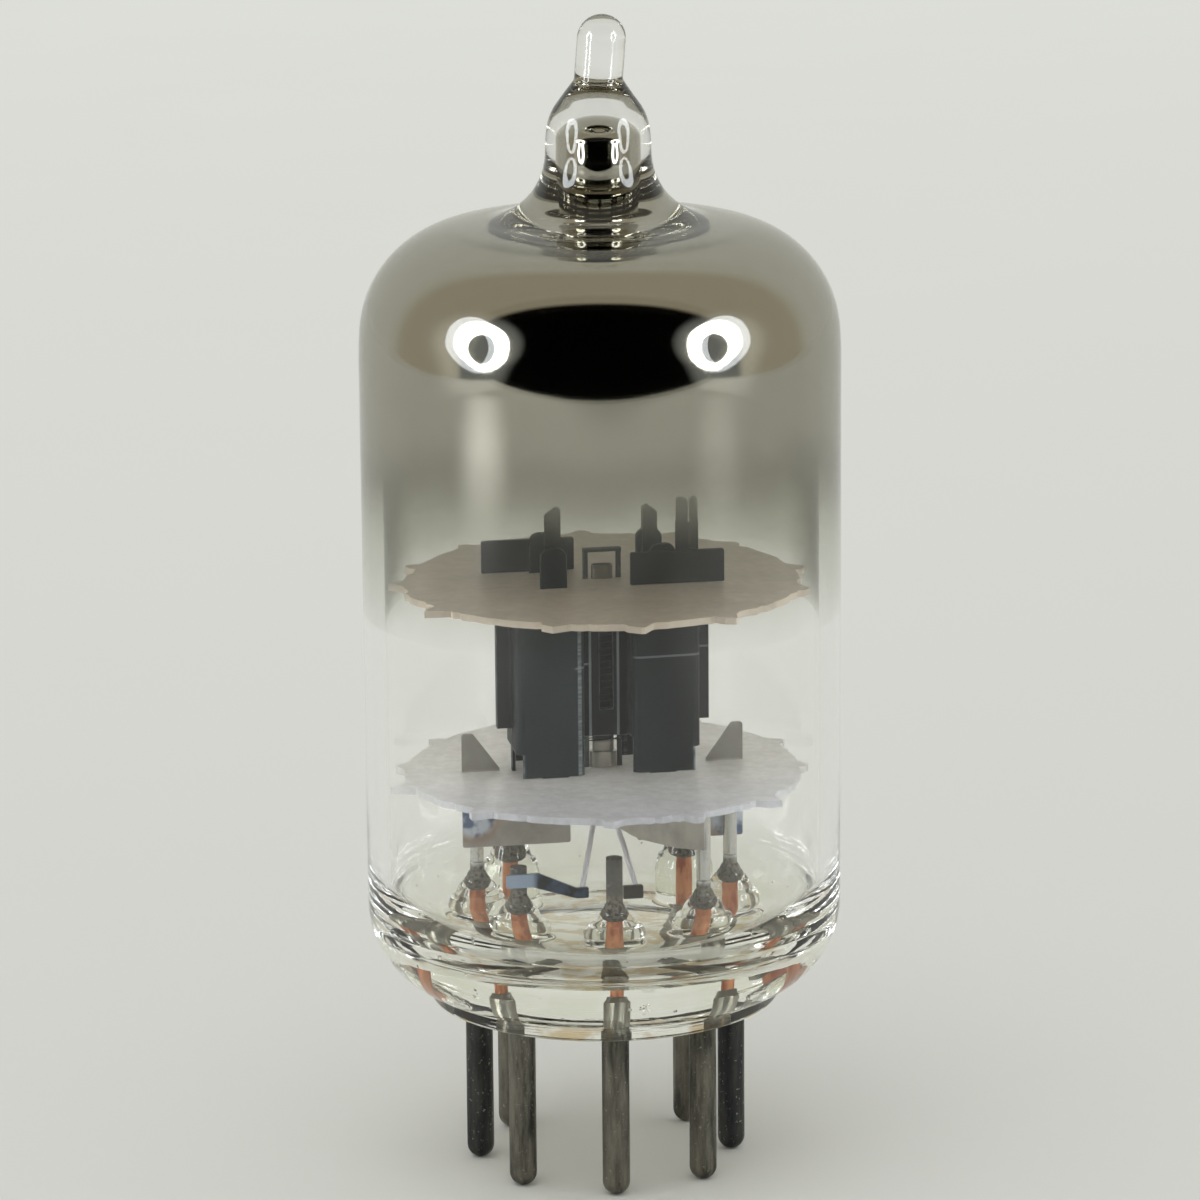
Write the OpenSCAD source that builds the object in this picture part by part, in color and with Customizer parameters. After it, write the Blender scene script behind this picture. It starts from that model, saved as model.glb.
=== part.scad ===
// Seven-pin miniature triode with a glass bulb, standing on its pins.
// Millimetres. Z runs up the tube's axis, and z = 0 is the plane of the pins' ends.
// Pin 4 points to -Y and the wide gap between pins 1 and 7 faces +Y.

/* [Pins] */
// Diameter of the circle through the pins' centres
pin_circle_d = 9.525; // [9:0.025:10]
// Diameter of a pin
pin_d = 1.016; // [0.9:0.004:1.1]
// Length of a pin below the glass
pin_length = 6.45; // [5.5:0.05:7]
// How far a pin reaches up into the glass button
pin_depth = 2.2; // [1.6:0.05:2.3]
// How far the pin's full thickness enters the glass
pin_entry = 0.15; // [0.1:0.01:0.18]
// Diameter of the pin's shank where it enters the glass
pin_shank_d = 0.92; // [0.7:0.02:0.98]
// Diameter of the shank at its top
pin_shank_top_d = 0.84; // [0.6:0.02:0.9]

/* [Glass button] */
// Diameter of the pressed button
button_d = 13.1; // [12:0.1:14]
// Thickness of the button between the beads
button_t = 2.45; // [2.2:0.05:3]
// Radius of the button's upper edge
button_edge_r = 0.9; // [0.3:0.1:1.1]
// Height of a bead over the button
bead_h = 2.05; // [1.6:0.05:2.6]
// Extra height of the two beads under the anode leads
tall_bead_rise = 0.6; // [0.4:0.05:1]
// Diameter of a bead where it leaves the button
bead_base_d = 2.7; // [2.2:0.1:3.2]
// Diameter of a bead at its top
bead_top_d = 1.0; // [0.94:0.02:1.2]
// Clearance between the glass and the metal sealed in it
seal_fit = 0.01; // [0.01:0.01:0.02]

/* [Bulb] */
// Outer diameter of the bulb
bulb_d = 17.7; // [17.2:0.1:18.6]
// Thickness of the bulb's glass
bulb_wall = 0.8; // [0.6:0.05:1]
// Height from the button's underside to the crown of the dome
crown_h = 29.43; // [28:0.05:31]
// Radius of the dome's corner
dome_corner_r = 4.3; // [3.5:0.1:4.8]
// Radius of the flatter crown of the dome
crown_r = 11.3; // [10:0.1:14]
// Angle at which the corner runs into the crown
crown_angle = 79; // [76:1:82]
// Outer radius of the lower corner, where the bulb is sealed to the button
foot_corner_r = 3.4; // [2.8:0.1:3.8]
// Height of the lower corner's centre over the button's underside
foot_rise = 3.7; // [3.5:0.05:4]

/* [Exhaust tip] */
// Diameter of the tube stub on the dome
stub_d = 3.96; // [3.6:0.02:4.4]
// Diameter of the bore in the stub
stub_bore_d = 2.4; // [2:0.1:2.8]
// Height of the stub's shoulder over the crown
stub_h = 3.22; // [2.9:0.02:3.8]
// Radius of the flare between the dome and the stub
flare_r = 3.0; // [2.6:0.1:3.4]
// Diameter of the sealed tip
tip_d = 1.78; // [1.5:0.02:2]
// Height of the neck cone between the stub and the tip
neck_h = 1.8; // [1.4:0.1:2.4]
// Length of the solid tip over the neck
tip_length = 2.4; // [2:0.05:3]

/* [Getter film] */
// Thickness of the film as modelled
film_t = 0.03; // [0.02:0.01:0.06]
// Height of the film's lower edge over the upper mica
film_rise = 2.0; // [1:0.1:5]
// How far the film reaches up into the stub
film_stub_h = 3.3; // [1:0.1:3.3]

/* [Micas] */
// Height of the lower mica's underside over the glass button
mica_rise = 6.1; // [5.8:0.05:6.6]
// Distance between the two micas
cage_h = 6.95; // [6:0.05:8]
// Thickness of a mica
mica_t = 0.25; // [0.2:0.01:0.35]
// Gap between a mica's edge and the glass, which its teeth bridge
mica_gap = 0.6; // [0.4:0.05:0.9]
// Number of teeth round a mica
mica_teeth = 12; // [8:1:16]
// Angle that a tooth covers
tooth_angle = 9; // [6:1:14]
// Clearance between a tooth and the glass, and round what passes through
mica_fit = 0.03; // [0.02:0.01:0.06]
// Turn of the electrodes from the line of the pins
cage_turn = 5.6; // [0:0.1:8]

/* [Anode] */
// Width over the anode's panels
anode_w = 6.9; // [6.4:0.05:7.4]
// Depth over both halves of the anode
anode_d = 2.8; // [2.7:0.05:3.2]
// Thickness of the anode's sheet
anode_sheet = 0.18; // [0.12:0.01:0.2]
// Width of the seam flange beside a panel
flange_w = 0.55; // [0.3:0.05:0.8]
// Gap between the flanges of the two halves
seam_gap = 0.02; // [0:0.01:0.06]
// Width of the trough
trough_w = 1.75; // [1.6:0.05:2]
// Depth of the trough
trough_depth = 0.62; // [0.5:0.02:0.64]
// Height of the trough's lower end over the mica
trough_lift = 1.35; // [1:0.05:1.8]
// Width of the window in the trough
window_w = 0.5; // [0.3:0.05:0.7]
// Height of the side walls' lower end over the mica
side_lift = 0.9; // [0.5:0.05:1.2]
// Height of the flanges' lower end over the mica
flange_lift = 1.65; // [1.3:0.05:2]
// Width of an ear
ear_w = 0.98; // [0.7:0.02:1.2]
// Distance of the ears' centres from the anode's middle
ear_x = 2.02; // [1.7:0.02:2.3]
// Height of an ear over the upper mica
ear_h = 1.5; // [1.2:0.05:1.8]
// Length of a lower tab below the lower mica
tab_h = 0.9; // [0.6:0.05:1.2]

/* [Grid and cathode] */
// Width of the cathode sleeve
cathode_w = 0.8; // [0.7:0.02:0.86]
// Depth of the cathode sleeve
cathode_d = 0.46; // [0.4:0.02:0.5]
// Thickness of the cathode sleeve's wall
cathode_wall = 0.05; // [0.04:0.01:0.06]
// Length of the sleeve below the lower mica
cathode_drop = 0.6; // [0.4:0.05:0.8]
// Length of the sleeve over the upper mica
cathode_top = 0.5; // [0.3:0.05:0.7]
// Distance of the grid rods' centres from the axis
rod_x = 0.62; // [0.62:0.01:0.7]
// Diameter of a grid rod
rod_d = 0.2; // [0.16:0.01:0.22]
// Length of a rod below the lower mica
rod_drop = 0.8; // [0.6:0.05:0.9]
// Depth over the grid winding
grid_d = 0.84; // [0.8:0.02:0.92]
// Diameter of the grid's winding wire
grid_wire_d = 0.05; // [0.03:0.01:0.07]
// Pitch of the grid's winding
grid_pitch = 0.25; // [0.22:0.01:0.4]
// Height of the grid rods over the upper mica
rod_top = 1.0; // [0.8:0.05:1.3]
// Thickness of the bridge over the grid rods
bridge_t = 0.12; // [0.08:0.01:0.16]
// Depth of the bridge over the grid rods
bridge_d = 0.3; // [0.22:0.01:0.4]
// Thickness of the collar round the cathode sleeve
collar_t = 0.1; // [0.06:0.01:0.1]
// Height of the collar over the lower mica
collar_h = 0.6; // [0.4:0.05:0.8]

/* [Straps and leads] */
// Diameter of an inner lead
lead_d = 0.52; // [0.4:0.02:0.6]
// Diameter of a seal wire
seal_wire_d = 0.42; // [0.34:0.02:0.5]
// Diameter of a weld knot
knot_d = 0.84; // [0.7:0.02:1]
// Height of a weld knot
knot_h = 0.8; // [0.7:0.05:1]
// Thickness of a strap
strap_t = 0.12; // [0.08:0.01:0.16]
// Height of a grid strap below the lower mica
strap_h = 2.65; // [2.2:0.05:2.8]
// Distance of a grid strap's outer edge from the axis
strap_reach = 5.3; // [5.1:0.05:5.6]
// Distance of a grid strap's inner edge from the axis
strap_inner = 1.25; // [1:0.05:1.6]
// Height of the finger from a grid strap to its rod
finger_h = 0.6; // [0.4:0.05:0.8]
// Width of a grid strap's ear at its foot
strap_ear_w = 1.4; // [1.1:0.05:1.6]
// Width of a grid strap's ear at its top
strap_ear_top = 0.42; // [0.3:0.02:0.7]
// Height of a grid strap's ear over the lower mica
strap_ear_h = 1.45; // [1:0.05:1.7]
// Height of the cathode strap at its deepest
cathode_strap_h = 2.25; // [1.8:0.05:2.4]
// Height of the cathode strap at its inner end
cathode_strap_inner_h = 1.55; // [1.2:0.05:1.7]
// How far the cathode strap reaches past the sleeve
cathode_strap_reach = 1.0; // [0.8:0.05:1.2]
// How far the cathode strap runs past its lead
cathode_strap_end = 0.45; // [0.3:0.05:0.7]
// Height of an anode strap
anode_strap_h = 1.1; // [0.8:0.05:1.4]
// Clearance at a weld
weld_gap = 0.02; // [0.01:0.01:0.04]

/* [Heater] */
// Diameter of the coated heater wire
heater_d = 0.22; // [0.16:0.01:0.24]
// Distance between the heater's two legs inside the sleeve
heater_pitch = 0.34; // [0.3:0.01:0.38]
// Height of a heater tab
heater_tab_h = 0.5; // [0.3:0.05:0.6]
// Thickness of a heater tab
heater_tab_t = 0.14; // [0.1:0.01:0.2]
// Reach of the tab from the post on pin 3
heater_tab_reach = 2.5; // [2.3:0.05:2.7]
// Drop of that tab along its length
heater_tab_drop = 0.62; // [0.4:0.02:0.7]
// Reach of the tab from the post on pin 4
short_tab_reach = 1.05; // [0.9:0.05:1.3]
// Diameter of the two heater posts
post_d = 0.6; // [0.5:0.02:0.66]
// Height of the post on pin 3 over its weld knot
post_3_h = 1.05; // [0.9:0.05:1.4]
// Height of the post on pin 4 over its weld knot
post_4_h = 1.7; // [1.4:0.05:2]

/* [Getters] */
// Width of a getter plate
getter_plate_w = 3.5; // [3.1:0.05:3.7]
// Height of a getter plate
getter_plate_h = 1.22; // [0.9:0.02:1.4]
// Thickness of a getter plate
getter_plate_t = 0.15; // [0.1:0.01:0.2]
// Distance of a getter plate's inner edge from the middle
getter_plate_x = 0.8; // [0.7:0.05:1]
// Width of a getter post
getter_post_w = 0.6; // [0.4:0.02:0.8]
// Depth of a getter post
getter_post_d = 0.34; // [0.25:0.01:0.4]
// Thickness of a getter post's strip
getter_post_t = 0.1; // [0.06:0.01:0.12]
// Height of the left getter post over the upper mica
getter_post_left_h = 3.0; // [2.4:0.05:3.4]
// Height of the right getter post over the upper mica
getter_post_right_h = 2.45; // [2:0.05:3]
// Width of the getter leaf
leaf_w = 0.86; // [0.7:0.02:0.9]
// Depth of the getter leaf
leaf_d = 0.36; // [0.3:0.02:0.5]
// Height of the getter leaf over the upper mica
leaf_h = 3.2; // [2.6:0.05:3.6]
// Distance of the getter leaf's centre from the middle
leaf_x = 3.02; // [3:0.02:3.3]

/* [Hidden] */
$fn = 48;
arc_steps = 10;
bend_r = 0.14;

// Heights, from the pins' ends up
seat_z = pin_length;
button_z = seat_z + button_t;
bead_z = button_z + bead_h;
pin_top_z = seat_z + pin_depth;
knot_z = bead_z - knot_h / 2;
knot_top_z = knot_z + knot_h;
lower_z = button_z + mica_rise;
cage_z = lower_z + mica_t;
upper_z = cage_z + cage_h;
deck_z = upper_z + mica_t;
crown_z = seat_z + crown_h;
strap_z = lower_z - weld_gap;
lead_top_z = strap_z - 0.35;

// Radii and places that follow from the sizes above
pin_ring_r = pin_circle_d / 2;
pin_r = pin_d / 2;
button_r = button_d / 2;
bulb_r = bulb_d / 2;
cavity_r = bulb_r - bulb_wall;
mica_r = cavity_r - mica_gap;
panel_x = anode_w / 2;
flange_x = panel_x + flange_w;
face_y = anode_d / 2;
inner_y = face_y - anode_sheet;
lead_r = lead_d / 2;
rod_r = rod_d / 2;
rest_gap = 0.02;

// Angle of a pin from the front, and its place, seen from above
function pin_angle(i) = 45 * (i - 4);
function pin_place(i) = pin_ring_r * [sin(pin_angle(i)), -cos(pin_angle(i))];

function turned(p, a) = [p.x * cos(a) - p.y * sin(a), p.x * sin(a) + p.y * cos(a)];
// The place of a lead on the axes of the electrodes, which are turned from the pins
function lead_place(i) = turned(pin_place(i), -cage_turn);

function unit(v) = v / norm(v);
function reversed(list) = [for (k = [len(list) - 1:-1:0]) list[k]];
function arc(c, r, from, to, n = arc_steps) =
    [for (k = [0:n]) let (a = from + (to - from) * k / n) [c.x + r * cos(a), c.y + r * sin(a)]];

// An outline with its corners rounded: each point is [x, y, radius]
function corner(before, p, after, r, n) =
    let (
        u = unit(before - p),
        w = unit(after - p),
        half = acos(u * w) / 2,
        c = p + unit(u + w) * r / sin(half),
        from = atan2((p + u * r / tan(half) - c).y, (p + u * r / tan(half) - c).x),
        to = atan2((p + w * r / tan(half) - c).y, (p + w * r / tan(half) - c).x),
        way = to - from > 180 ? to - from - 360 : to - from < -180 ? to - from + 360 : to - from
    )
    arc(c, r, from, from + way, n);
function flat(p) = [p.x, p.y];
function rounded(pts, n = 4) = [
    for (k = [0:len(pts) - 1])
    let (count = len(pts), before = flat(pts[(k + count - 1) % count]), after = flat(pts[(k + 1) % count]))
    each pts[k].z == 0 ? [flat(pts[k])] : corner(before, flat(pts[k]), after, pts[k].z, n)
];

// Outline of a strip of sheet, seen on edge, that is folded along a path
function strip_side(path, k, t) =
    let (
        into = unit(path[max(k, 1)] - path[max(k, 1) - 1]),
        out = unit(path[min(k, len(path) - 2) + 1] - path[min(k, len(path) - 2)]),
        m = unit(into + out)
    )
    [-m.y, m.x] * t / 2 / (m * into);
function strip(path, t) = concat(
    [for (k = [0:len(path) - 1]) path[k] + strip_side(path, k, t)],
    [for (k = [len(path) - 1:-1:0]) path[k] - strip_side(path, k, t)]
);

// End of a straight run from b that passes a round lead at c with its middle q away
function past_lead(b, c, q, side, extra) =
    b + turned(unit(c - b), side * asin(q / norm(c - b))) * (sqrt(pow(norm(c - b), 2) - q * q) + extra);

// A tube along a path, with a normal that is carried along so that it doesn't twist
function carried(path) = [
    for (
        k = 0, t = unit(path[1] - path[0]), n = unit(cross(t, [0, 1, 0]));
        k < len(path);
        k = k + 1,
        t = unit(path[min(k + 1, len(path) - 1)] - path[min(k, len(path) - 1) - 1]),
        n = unit(n - t * (n * t))
    )
    [t, n]
];
function tube_faces(rings, sides) = concat(
    [[for (s = [0:sides - 1]) s]],
    [for (k = [0:rings - 2], s = [0:sides - 1])
        let (a = k * sides, b = a + sides, t = (s + 1) % sides)
        each [[a + s, b + s, b + t], [a + s, b + t, a + t]]],
    [[for (s = [sides - 1:-1:0]) (rings - 1) * sides + s]]
);
module tube_along(path, d, sides = 8) {
    frames = carried(path);
    points = [
        for (k = [0:len(path) - 1], s = [0:sides - 1])
        let (a = 360 * s / sides, n = frames[k][1], m = cross(frames[k][0], n))
        path[k] + d / 2 * (cos(a) * n + sin(a) * m)
    ];
    polyhedron(points, tube_faces(len(path), sides));
}

// Turns what is drawn on the electrodes' axes to their place over the pins
module on_cage() {
    rotate([0, 0, cage_turn]) children();
}

// Stands an outline drawn in X and Z up as a sheet of thickness t centred on y
module upright(y, t) {
    translate([0, y + t / 2, 0]) rotate([90, 0, 0]) linear_extrude(t) children();
}

// Outline of the bulb's glass: w is the depth below the outer surface
foot_c = [bulb_r - foot_corner_r, seat_z + foot_rise];
dome_c = [bulb_r - dome_corner_r, crown_z - crown_r + (crown_r - dome_corner_r) * sin(crown_angle)];
crown_c = [dome_c.x - (crown_r - dome_corner_r) * cos(crown_angle), crown_z - crown_r];
stub_r = stub_d / 2;
tip_r = tip_d / 2;
shoulder_z = crown_z + stub_h;
neck_z = shoulder_z + neck_h;
mouth_r = 0.35;

// The flare is an arc that is tangent to the crown and to the stub
flare_c = [stub_r + flare_r, crown_c.y + sqrt(pow(crown_r + flare_r, 2) - pow(stub_r + flare_r - crown_c.x, 2))];
flare_angle = acos((crown_c.x - flare_c.x) / (crown_r + flare_r));
flare_end_x = flare_c.x + flare_r * cos(flare_angle);

function crown_angle_at(w, x) = acos((x - crown_c.x) / (crown_r - w));
function foot_line(w) =
    let (r = foot_corner_r - w) arc(foot_c, r, -acos((button_r - foot_c.x) / r), 0);
function dome_line(w, x) = concat(
    arc(dome_c, dome_corner_r - w, 0, crown_angle),
    arc(crown_c, crown_r - w, crown_angle, crown_angle_at(w, x), 6)
);
function tip_line() = concat(
    arc(flare_c, flare_r, 360 - flare_angle, 180, 8),
    [for (k = [0:8]) [tip_r + (stub_r - tip_r) * (1 + cos(22.5 * k)) / 2, shoulder_z + neck_h * k / 8]],
    arc([0, neck_z + tip_length - tip_r], tip_r, 0, 90, 8)
);
function bore_line(w) =
    let (r = stub_bore_d / 2 - w + bulb_wall, x = r + mouth_r, z = crown_c.y + sqrt(pow(crown_r - w, 2) - pow(x - crown_c.x, 2)))
    concat(dome_line(w, x), arc([x, z + mouth_r], mouth_r, 270, 180, 4));
function bore_end() =
    let (r = stub_bore_d / 2, end_z = shoulder_z + neck_h * 0.8, length = neck_h * 0.7)
    [for (k = [0:6]) [r * cos(15 * k), end_z - length * (1 - sin(15 * k))]];

module bulb() {
    color("lightcyan", 0.35) rotate_extrude() polygon(concat(
        foot_line(0),
        dome_line(0, flare_end_x),
        tip_line(),
        reversed(concat(foot_line(bulb_wall), bore_line(bulb_wall), bore_end()))
    ));
}

module getter_film() {
    low_z = deck_z + film_rise;
    high_z = crown_z + film_stub_h;
    bore_r = stub_bore_d / 2;
    inner = bulb_wall + film_t;
    color("dimgray") rotate_extrude() polygon(concat(
        [[cavity_r, low_z]],
        bore_line(bulb_wall),
        [[bore_r, high_z], [bore_r - film_t, high_z]],
        reversed(bore_line(inner)),
        [[cavity_r - film_t, low_z]]
    ));
}

// The pressed button: extra grows what is sealed in it, for its bores
function is_tall(i) = i == 1 || i == 7;

module at_pin(i) {
    translate(pin_place(i)) children();
}
module pin_root(extra) {
    r = pin_shank_d / 2 + extra;
    top_r = pin_shank_top_d / 2 + extra;
    chamfer = 0.12;
    translate([0, 0, seat_z - 0.5]) cylinder(h = pin_entry + 0.5 + extra, d = pin_d + 2 * extra);
    rotate_extrude() polygon([
        [0, seat_z], [r, seat_z], [top_r, pin_top_z - chamfer],
        [top_r - chamfer, pin_top_z + extra], [0, pin_top_z + extra]
    ]);
}
module seal_wire_shape(extra) {
    translate([0, 0, pin_top_z]) cylinder(h = knot_z - pin_top_z, d = seal_wire_d + 2 * extra);
}
module knot(extra) {
    r = knot_d / 2 + extra;
    waist = seal_wire_d / 2 + extra;
    rotate_extrude() polygon(concat(
        [[0, knot_z - extra], [waist, knot_z - extra]],
        [for (k = [1:6]) let (s = k / 6)
            [waist + (r - waist) * sin(90 * s), knot_z - extra + knot_h * 0.45 * (1 - cos(90 * s))]],
        [for (k = [1:6]) let (s = k / 6)
            [waist + (r - waist) * cos(90 * s), knot_z + knot_h * (0.45 + 0.55 * sin(90 * s)) + extra]],
        [[0, knot_top_z + extra]]
    ));
}
module bead(rise) {
    base_r = bead_base_d / 2;
    top_r = bead_top_d / 2;
    top_z = bead_z + rise;
    foot_z = button_z - 0.3;
    rotate_extrude() polygon(concat(
        [[0, foot_z], [base_r, foot_z]],
        [for (k = [0:9]) let (s = k / 9)
            [top_r + (base_r - top_r) * (1 + cos(180 * pow(s, 1.25))) / 2, button_z + (top_z - button_z) * s]],
        [[0, top_z]]
    ));
}
module button_stem() {
    rim_r = 0.15;
    color("honeydew", 0.35) difference() {
        union() {
            rotate_extrude() polygon(concat(
                [[0, seat_z]],
                arc([button_r - rim_r, seat_z + rim_r], rim_r, 270, 360, 3),
                arc([button_r - button_edge_r, button_z - button_edge_r], button_edge_r, 0, 90, 6),
                [[0, button_z]]
            ));
            for (i = [1:7]) at_pin(i) bead(is_tall(i) ? tall_bead_rise : 0);
        }
        for (i = [1:7]) at_pin(i) {
            pin_root(seal_fit);
            seal_wire_shape(seal_fit);
            knot(seal_fit);
            translate([0, 0, knot_top_z - 0.1]) cylinder(h = 2, d = lead_d + 2 * seal_fit);
        }
    }
}

module pin(i) {
    color("dimgray") at_pin(i) {
        translate([0, 0, pin_r]) sphere(d = pin_d);
        translate([0, 0, pin_r]) cylinder(h = seat_z + pin_entry - pin_r, d = pin_d);
        pin_root(0);
    }
}
module seal_wire(i) {
    color("chocolate") at_pin(i) seal_wire_shape(0);
}
module lead(i, top_z, d) {
    color("silver") at_pin(i) {
        knot(0);
        translate([0, 0, knot_top_z - 0.1]) cylinder(h = top_z - knot_top_z + 0.1, d = d);
    }
}

// A mica: a disc whose teeth reach the glass
function tooth_reach(k) = cavity_r - mica_fit - 0.14 * (1 + sin(137 * k)) * (k % 3 == 0 ? 0 : 1);
function mica_outline() = [
    for (k = [0:mica_teeth - 1])
    let (a = 360 * k / mica_teeth + 6 * sin(101 * k), w = tooth_angle / 2, next = 360 / mica_teeth)
    each [
        mica_r * [cos(a - w), sin(a - w)],
        tooth_reach(k) * [cos(a + w / 3), sin(a + w / 3)],
        mica_r * [cos(a + w), sin(a + w)],
        mica_r * [cos(a + next / 2), sin(a + next / 2)]
    ]
];
module oval(w, d) {
    square([w - d, d], center = true);
    for (side = [-1, 1]) translate([side * (w - d) / 2, 0]) circle(d = d);
}
module slot(c, w, d) {
    translate(c) square([w + 2 * mica_fit, d + 2 * mica_fit], center = true);
}
module mica_holes() {
    oval(cathode_w + 2 * mica_fit, cathode_d + 2 * mica_fit);
    for (side = [-1, 1]) {
        translate([side * rod_x, 0]) circle(d = rod_d + 2 * mica_fit);
        for (half = [-1, 1]) slot([side * ear_x, half * (face_y - anode_sheet / 2)], ear_w, anode_sheet);
    }
}
module upper_mica() {
    color("tan") on_cage() translate([0, 0, upper_z]) linear_extrude(mica_t) difference() {
        polygon(mica_outline());
        mica_holes();
    }
}
module lower_mica() {
    color("lavender") on_cage() translate([0, 0, lower_z]) linear_extrude(mica_t) difference() {
        rotate(15) polygon(mica_outline());
        mica_holes();
        for (half = [0, 180]) rotate(half) slot([strap_ear_w / 2 - strap_reach, grid_strap_y], strap_ear_w, strap_t);
    }
}

// One half of the anode, the front one: a folded sheet with ears and tabs
module anode_section() {
    x = panel_x;
    wall = trough_w / 2;
    t = anode_sheet;
    out = bend_r + t;
    side = [
        [wall, trough_depth - face_y, bend_r], [wall, -face_y, out],
        [x, -face_y, out], [x, -seam_gap / 2 - t, bend_r],
        [flange_x, -seam_gap / 2 - t, 0], [flange_x, -seam_gap / 2, 0],
        [x - t, -seam_gap / 2, out], [x - t, -inner_y, bend_r],
        [wall + t, -inner_y, bend_r], [wall + t, trough_depth - inner_y, out]
    ];
    polygon(rounded(concat(side, [for (p = reversed(side)) [-p.x, p.y, p.z]])));
}
// What the sheet is cut to before it is folded, seen from the front
module anode_blank() {
    low = cage_z + rest_gap;
    high = upper_z - rest_gap;
    x = flange_x;
    difference() {
        translate([-x, low]) square([2 * x, high - low]);
        for (side = [-1, 1]) {
            translate([side * (panel_x + x) / 2, low + flange_lift / 2]) square([x - panel_x, flange_lift], center = true);
        }
        translate([0, (low + trough_lift + high) / 2]) square([window_w, high - low - trough_lift - 2], center = true);
    }
}
module ear(h, z) {
    w = ear_w / 2;
    for (side = [-1, 1]) translate([side * ear_x, z]) polygon(rounded([[-w, 0, 0], [w, 0, 0], [w, h, w * 0.7], [-w, h, w * 0.7]], 5));
}
module anode_half() {
    depth = face_y - seam_gap / 2;
    low = cage_z + rest_gap;
    t = anode_sheet;
    reach = trough_w / 2 + t + bend_r;
    difference() {
        intersection() {
            translate([0, 0, cage_z]) linear_extrude(cage_h) anode_section();
            upright(-face_y / 2, face_y) anode_blank();
        }
        for (side = [-1, 1]) translate([side * (panel_x - bend_r / 2), -depth / 2 - t / 2 + 0.01, low + side_lift / 2])
            cube([2 * t + bend_r + 0.02, depth - t, side_lift], center = true);
        translate([-reach, -inner_y, low - 0.01]) cube([2 * reach, inner_y, trough_lift]);
    }
    upright(-face_y + t / 2, t) {
        ear(ear_h + mica_t + 2 * rest_gap, upper_z - 2 * rest_gap);
        mirror([0, 1]) ear(tab_h + mica_t + 2 * rest_gap, -cage_z - 2 * rest_gap);
    }
}
module anode_front() {
    color("darkslategray") on_cage() anode_half();
}
module anode_back() {
    color("darkslategray") on_cage() rotate([0, 0, 180]) anode_half();
}

// The grid: two rods, the fine wire wound round them and the bridge on top
module grid_rod(side) {
    color("silver") on_cage() translate([side * rod_x, 0, lower_z - rod_drop])
        cylinder(h = rod_drop + 2 * mica_t + cage_h + rod_top, d = rod_d);
}
module grid_winding() {
    per_turn = 12;
    start_z = cage_z + collar_h + 0.3;
    turns = floor((upper_z - 0.3 - start_z) / grid_pitch);
    wide = rod_x + rod_r + grid_wire_d / 2 + rest_gap;
    deep = grid_d / 2 - grid_wire_d / 2;
    points = [
        for (k = [0:turns * per_turn], s = [0:3])
        let (
            a = 360 * k / per_turn,
            out = unit([deep * cos(a), wide * sin(a)]),
            r = grid_wire_d / 2 * cos(90 * s),
            up = grid_wire_d / 2 * sin(90 * s)
        )
        [wide * cos(a) + r * out.x, deep * sin(a) + r * out.y, start_z + grid_pitch * k / per_turn + up]
    ];
    color("gold") on_cage() polyhedron(points, tube_faces(turns * per_turn + 1, 4));
}
module grid_bridge() {
    w = 2 * rod_x + rod_d;
    color("dimgray") on_cage() translate([0, 0, deck_z + rod_top]) linear_extrude(bridge_t)
        polygon(rounded([
            [-w / 2, -bridge_d / 2, 0.05], [w / 2, -bridge_d / 2, 0.05],
            [w / 2, bridge_d / 2, 0.05], [-w / 2, bridge_d / 2, 0.05]
        ]));
}

module cathode_sleeve() {
    color("silver") on_cage() translate([0, 0, lower_z - cathode_drop])
        linear_extrude(cathode_drop + 2 * mica_t + cage_h + cathode_top) difference() {
            oval(cathode_w, cathode_d);
            oval(cathode_w - 2 * cathode_wall, cathode_d - 2 * cathode_wall);
        }
}
module cathode_collar() {
    color("silver") on_cage() translate([0, 0, cage_z]) linear_extrude(collar_h) difference() {
        oval(cathode_w + 2 * collar_t, cathode_d + 2 * collar_t);
        oval(cathode_w + rest_gap, cathode_d + rest_gap);
    }
}

// A grid strap: its ear comes up through the lower mica and its finger meets the rod
grid_strap_y = lead_place(2).y - lead_r - weld_gap - strap_t / 2;
module grid_strap() {
    low = strap_z - strap_h;
    rod_side = rod_x + rod_r + weld_gap;
    foot_x = strap_reach - strap_ear_w;
    top = cage_z + strap_ear_h;
    color("slategray") on_cage() upright(grid_strap_y, strap_t) polygon(rounded([
        [-strap_reach, low, 0.08], [-strap_inner, low, 0.08],
        [-strap_inner, strap_z - finger_h, 0], [-rod_side, strap_z - finger_h, 0],
        [-rod_side, strap_z, 0], [-foot_x, strap_z, 0],
        [-foot_x, cage_z + 0.1, 0], [-strap_reach + strap_ear_top, top, 0.12], [-strap_reach, top, 0.12]
    ]));
}
module grid_strap_left() {
    grid_strap();
}
module grid_strap_right() {
    rotate([0, 0, 180]) grid_strap();
}

// The cathode strap lies against the sleeve, turns and runs past the lead on pin 5
module cathode_strap() {
    y = -cathode_d / 2 - weld_gap - strap_t / 2;
    bend = [0.45, y];
    end = past_lead(bend, lead_place(5), lead_r + weld_gap + strap_t / 2, -1, cathode_strap_end);
    deep = strap_z - cathode_strap_h;
    inner = strap_z - cathode_strap_inner_h;
    color("slategray") on_cage() intersection() {
        translate([0, 0, deep - 1]) linear_extrude(cathode_strap_h + 1)
            polygon(strip([[-cathode_strap_reach, y], bend, end], strap_t));
        upright(end.y / 2, 2 * strap_t - end.y) polygon(concat(
            [[-cathode_strap_reach, strap_z + 1], [-cathode_strap_reach, inner]],
            [for (k = [0:6]) [0.2 + 1.0 * k / 6 - 0.9 * (1 - k / 6), inner - (inner - deep) * (1 - cos(30 * k)) / 2]],
            [[end.x * 0.7, deep + 0.05], [end.x + 1, deep + 0.5], [end.x + 1, strap_z + 1]]
        ));
    }
}

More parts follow.
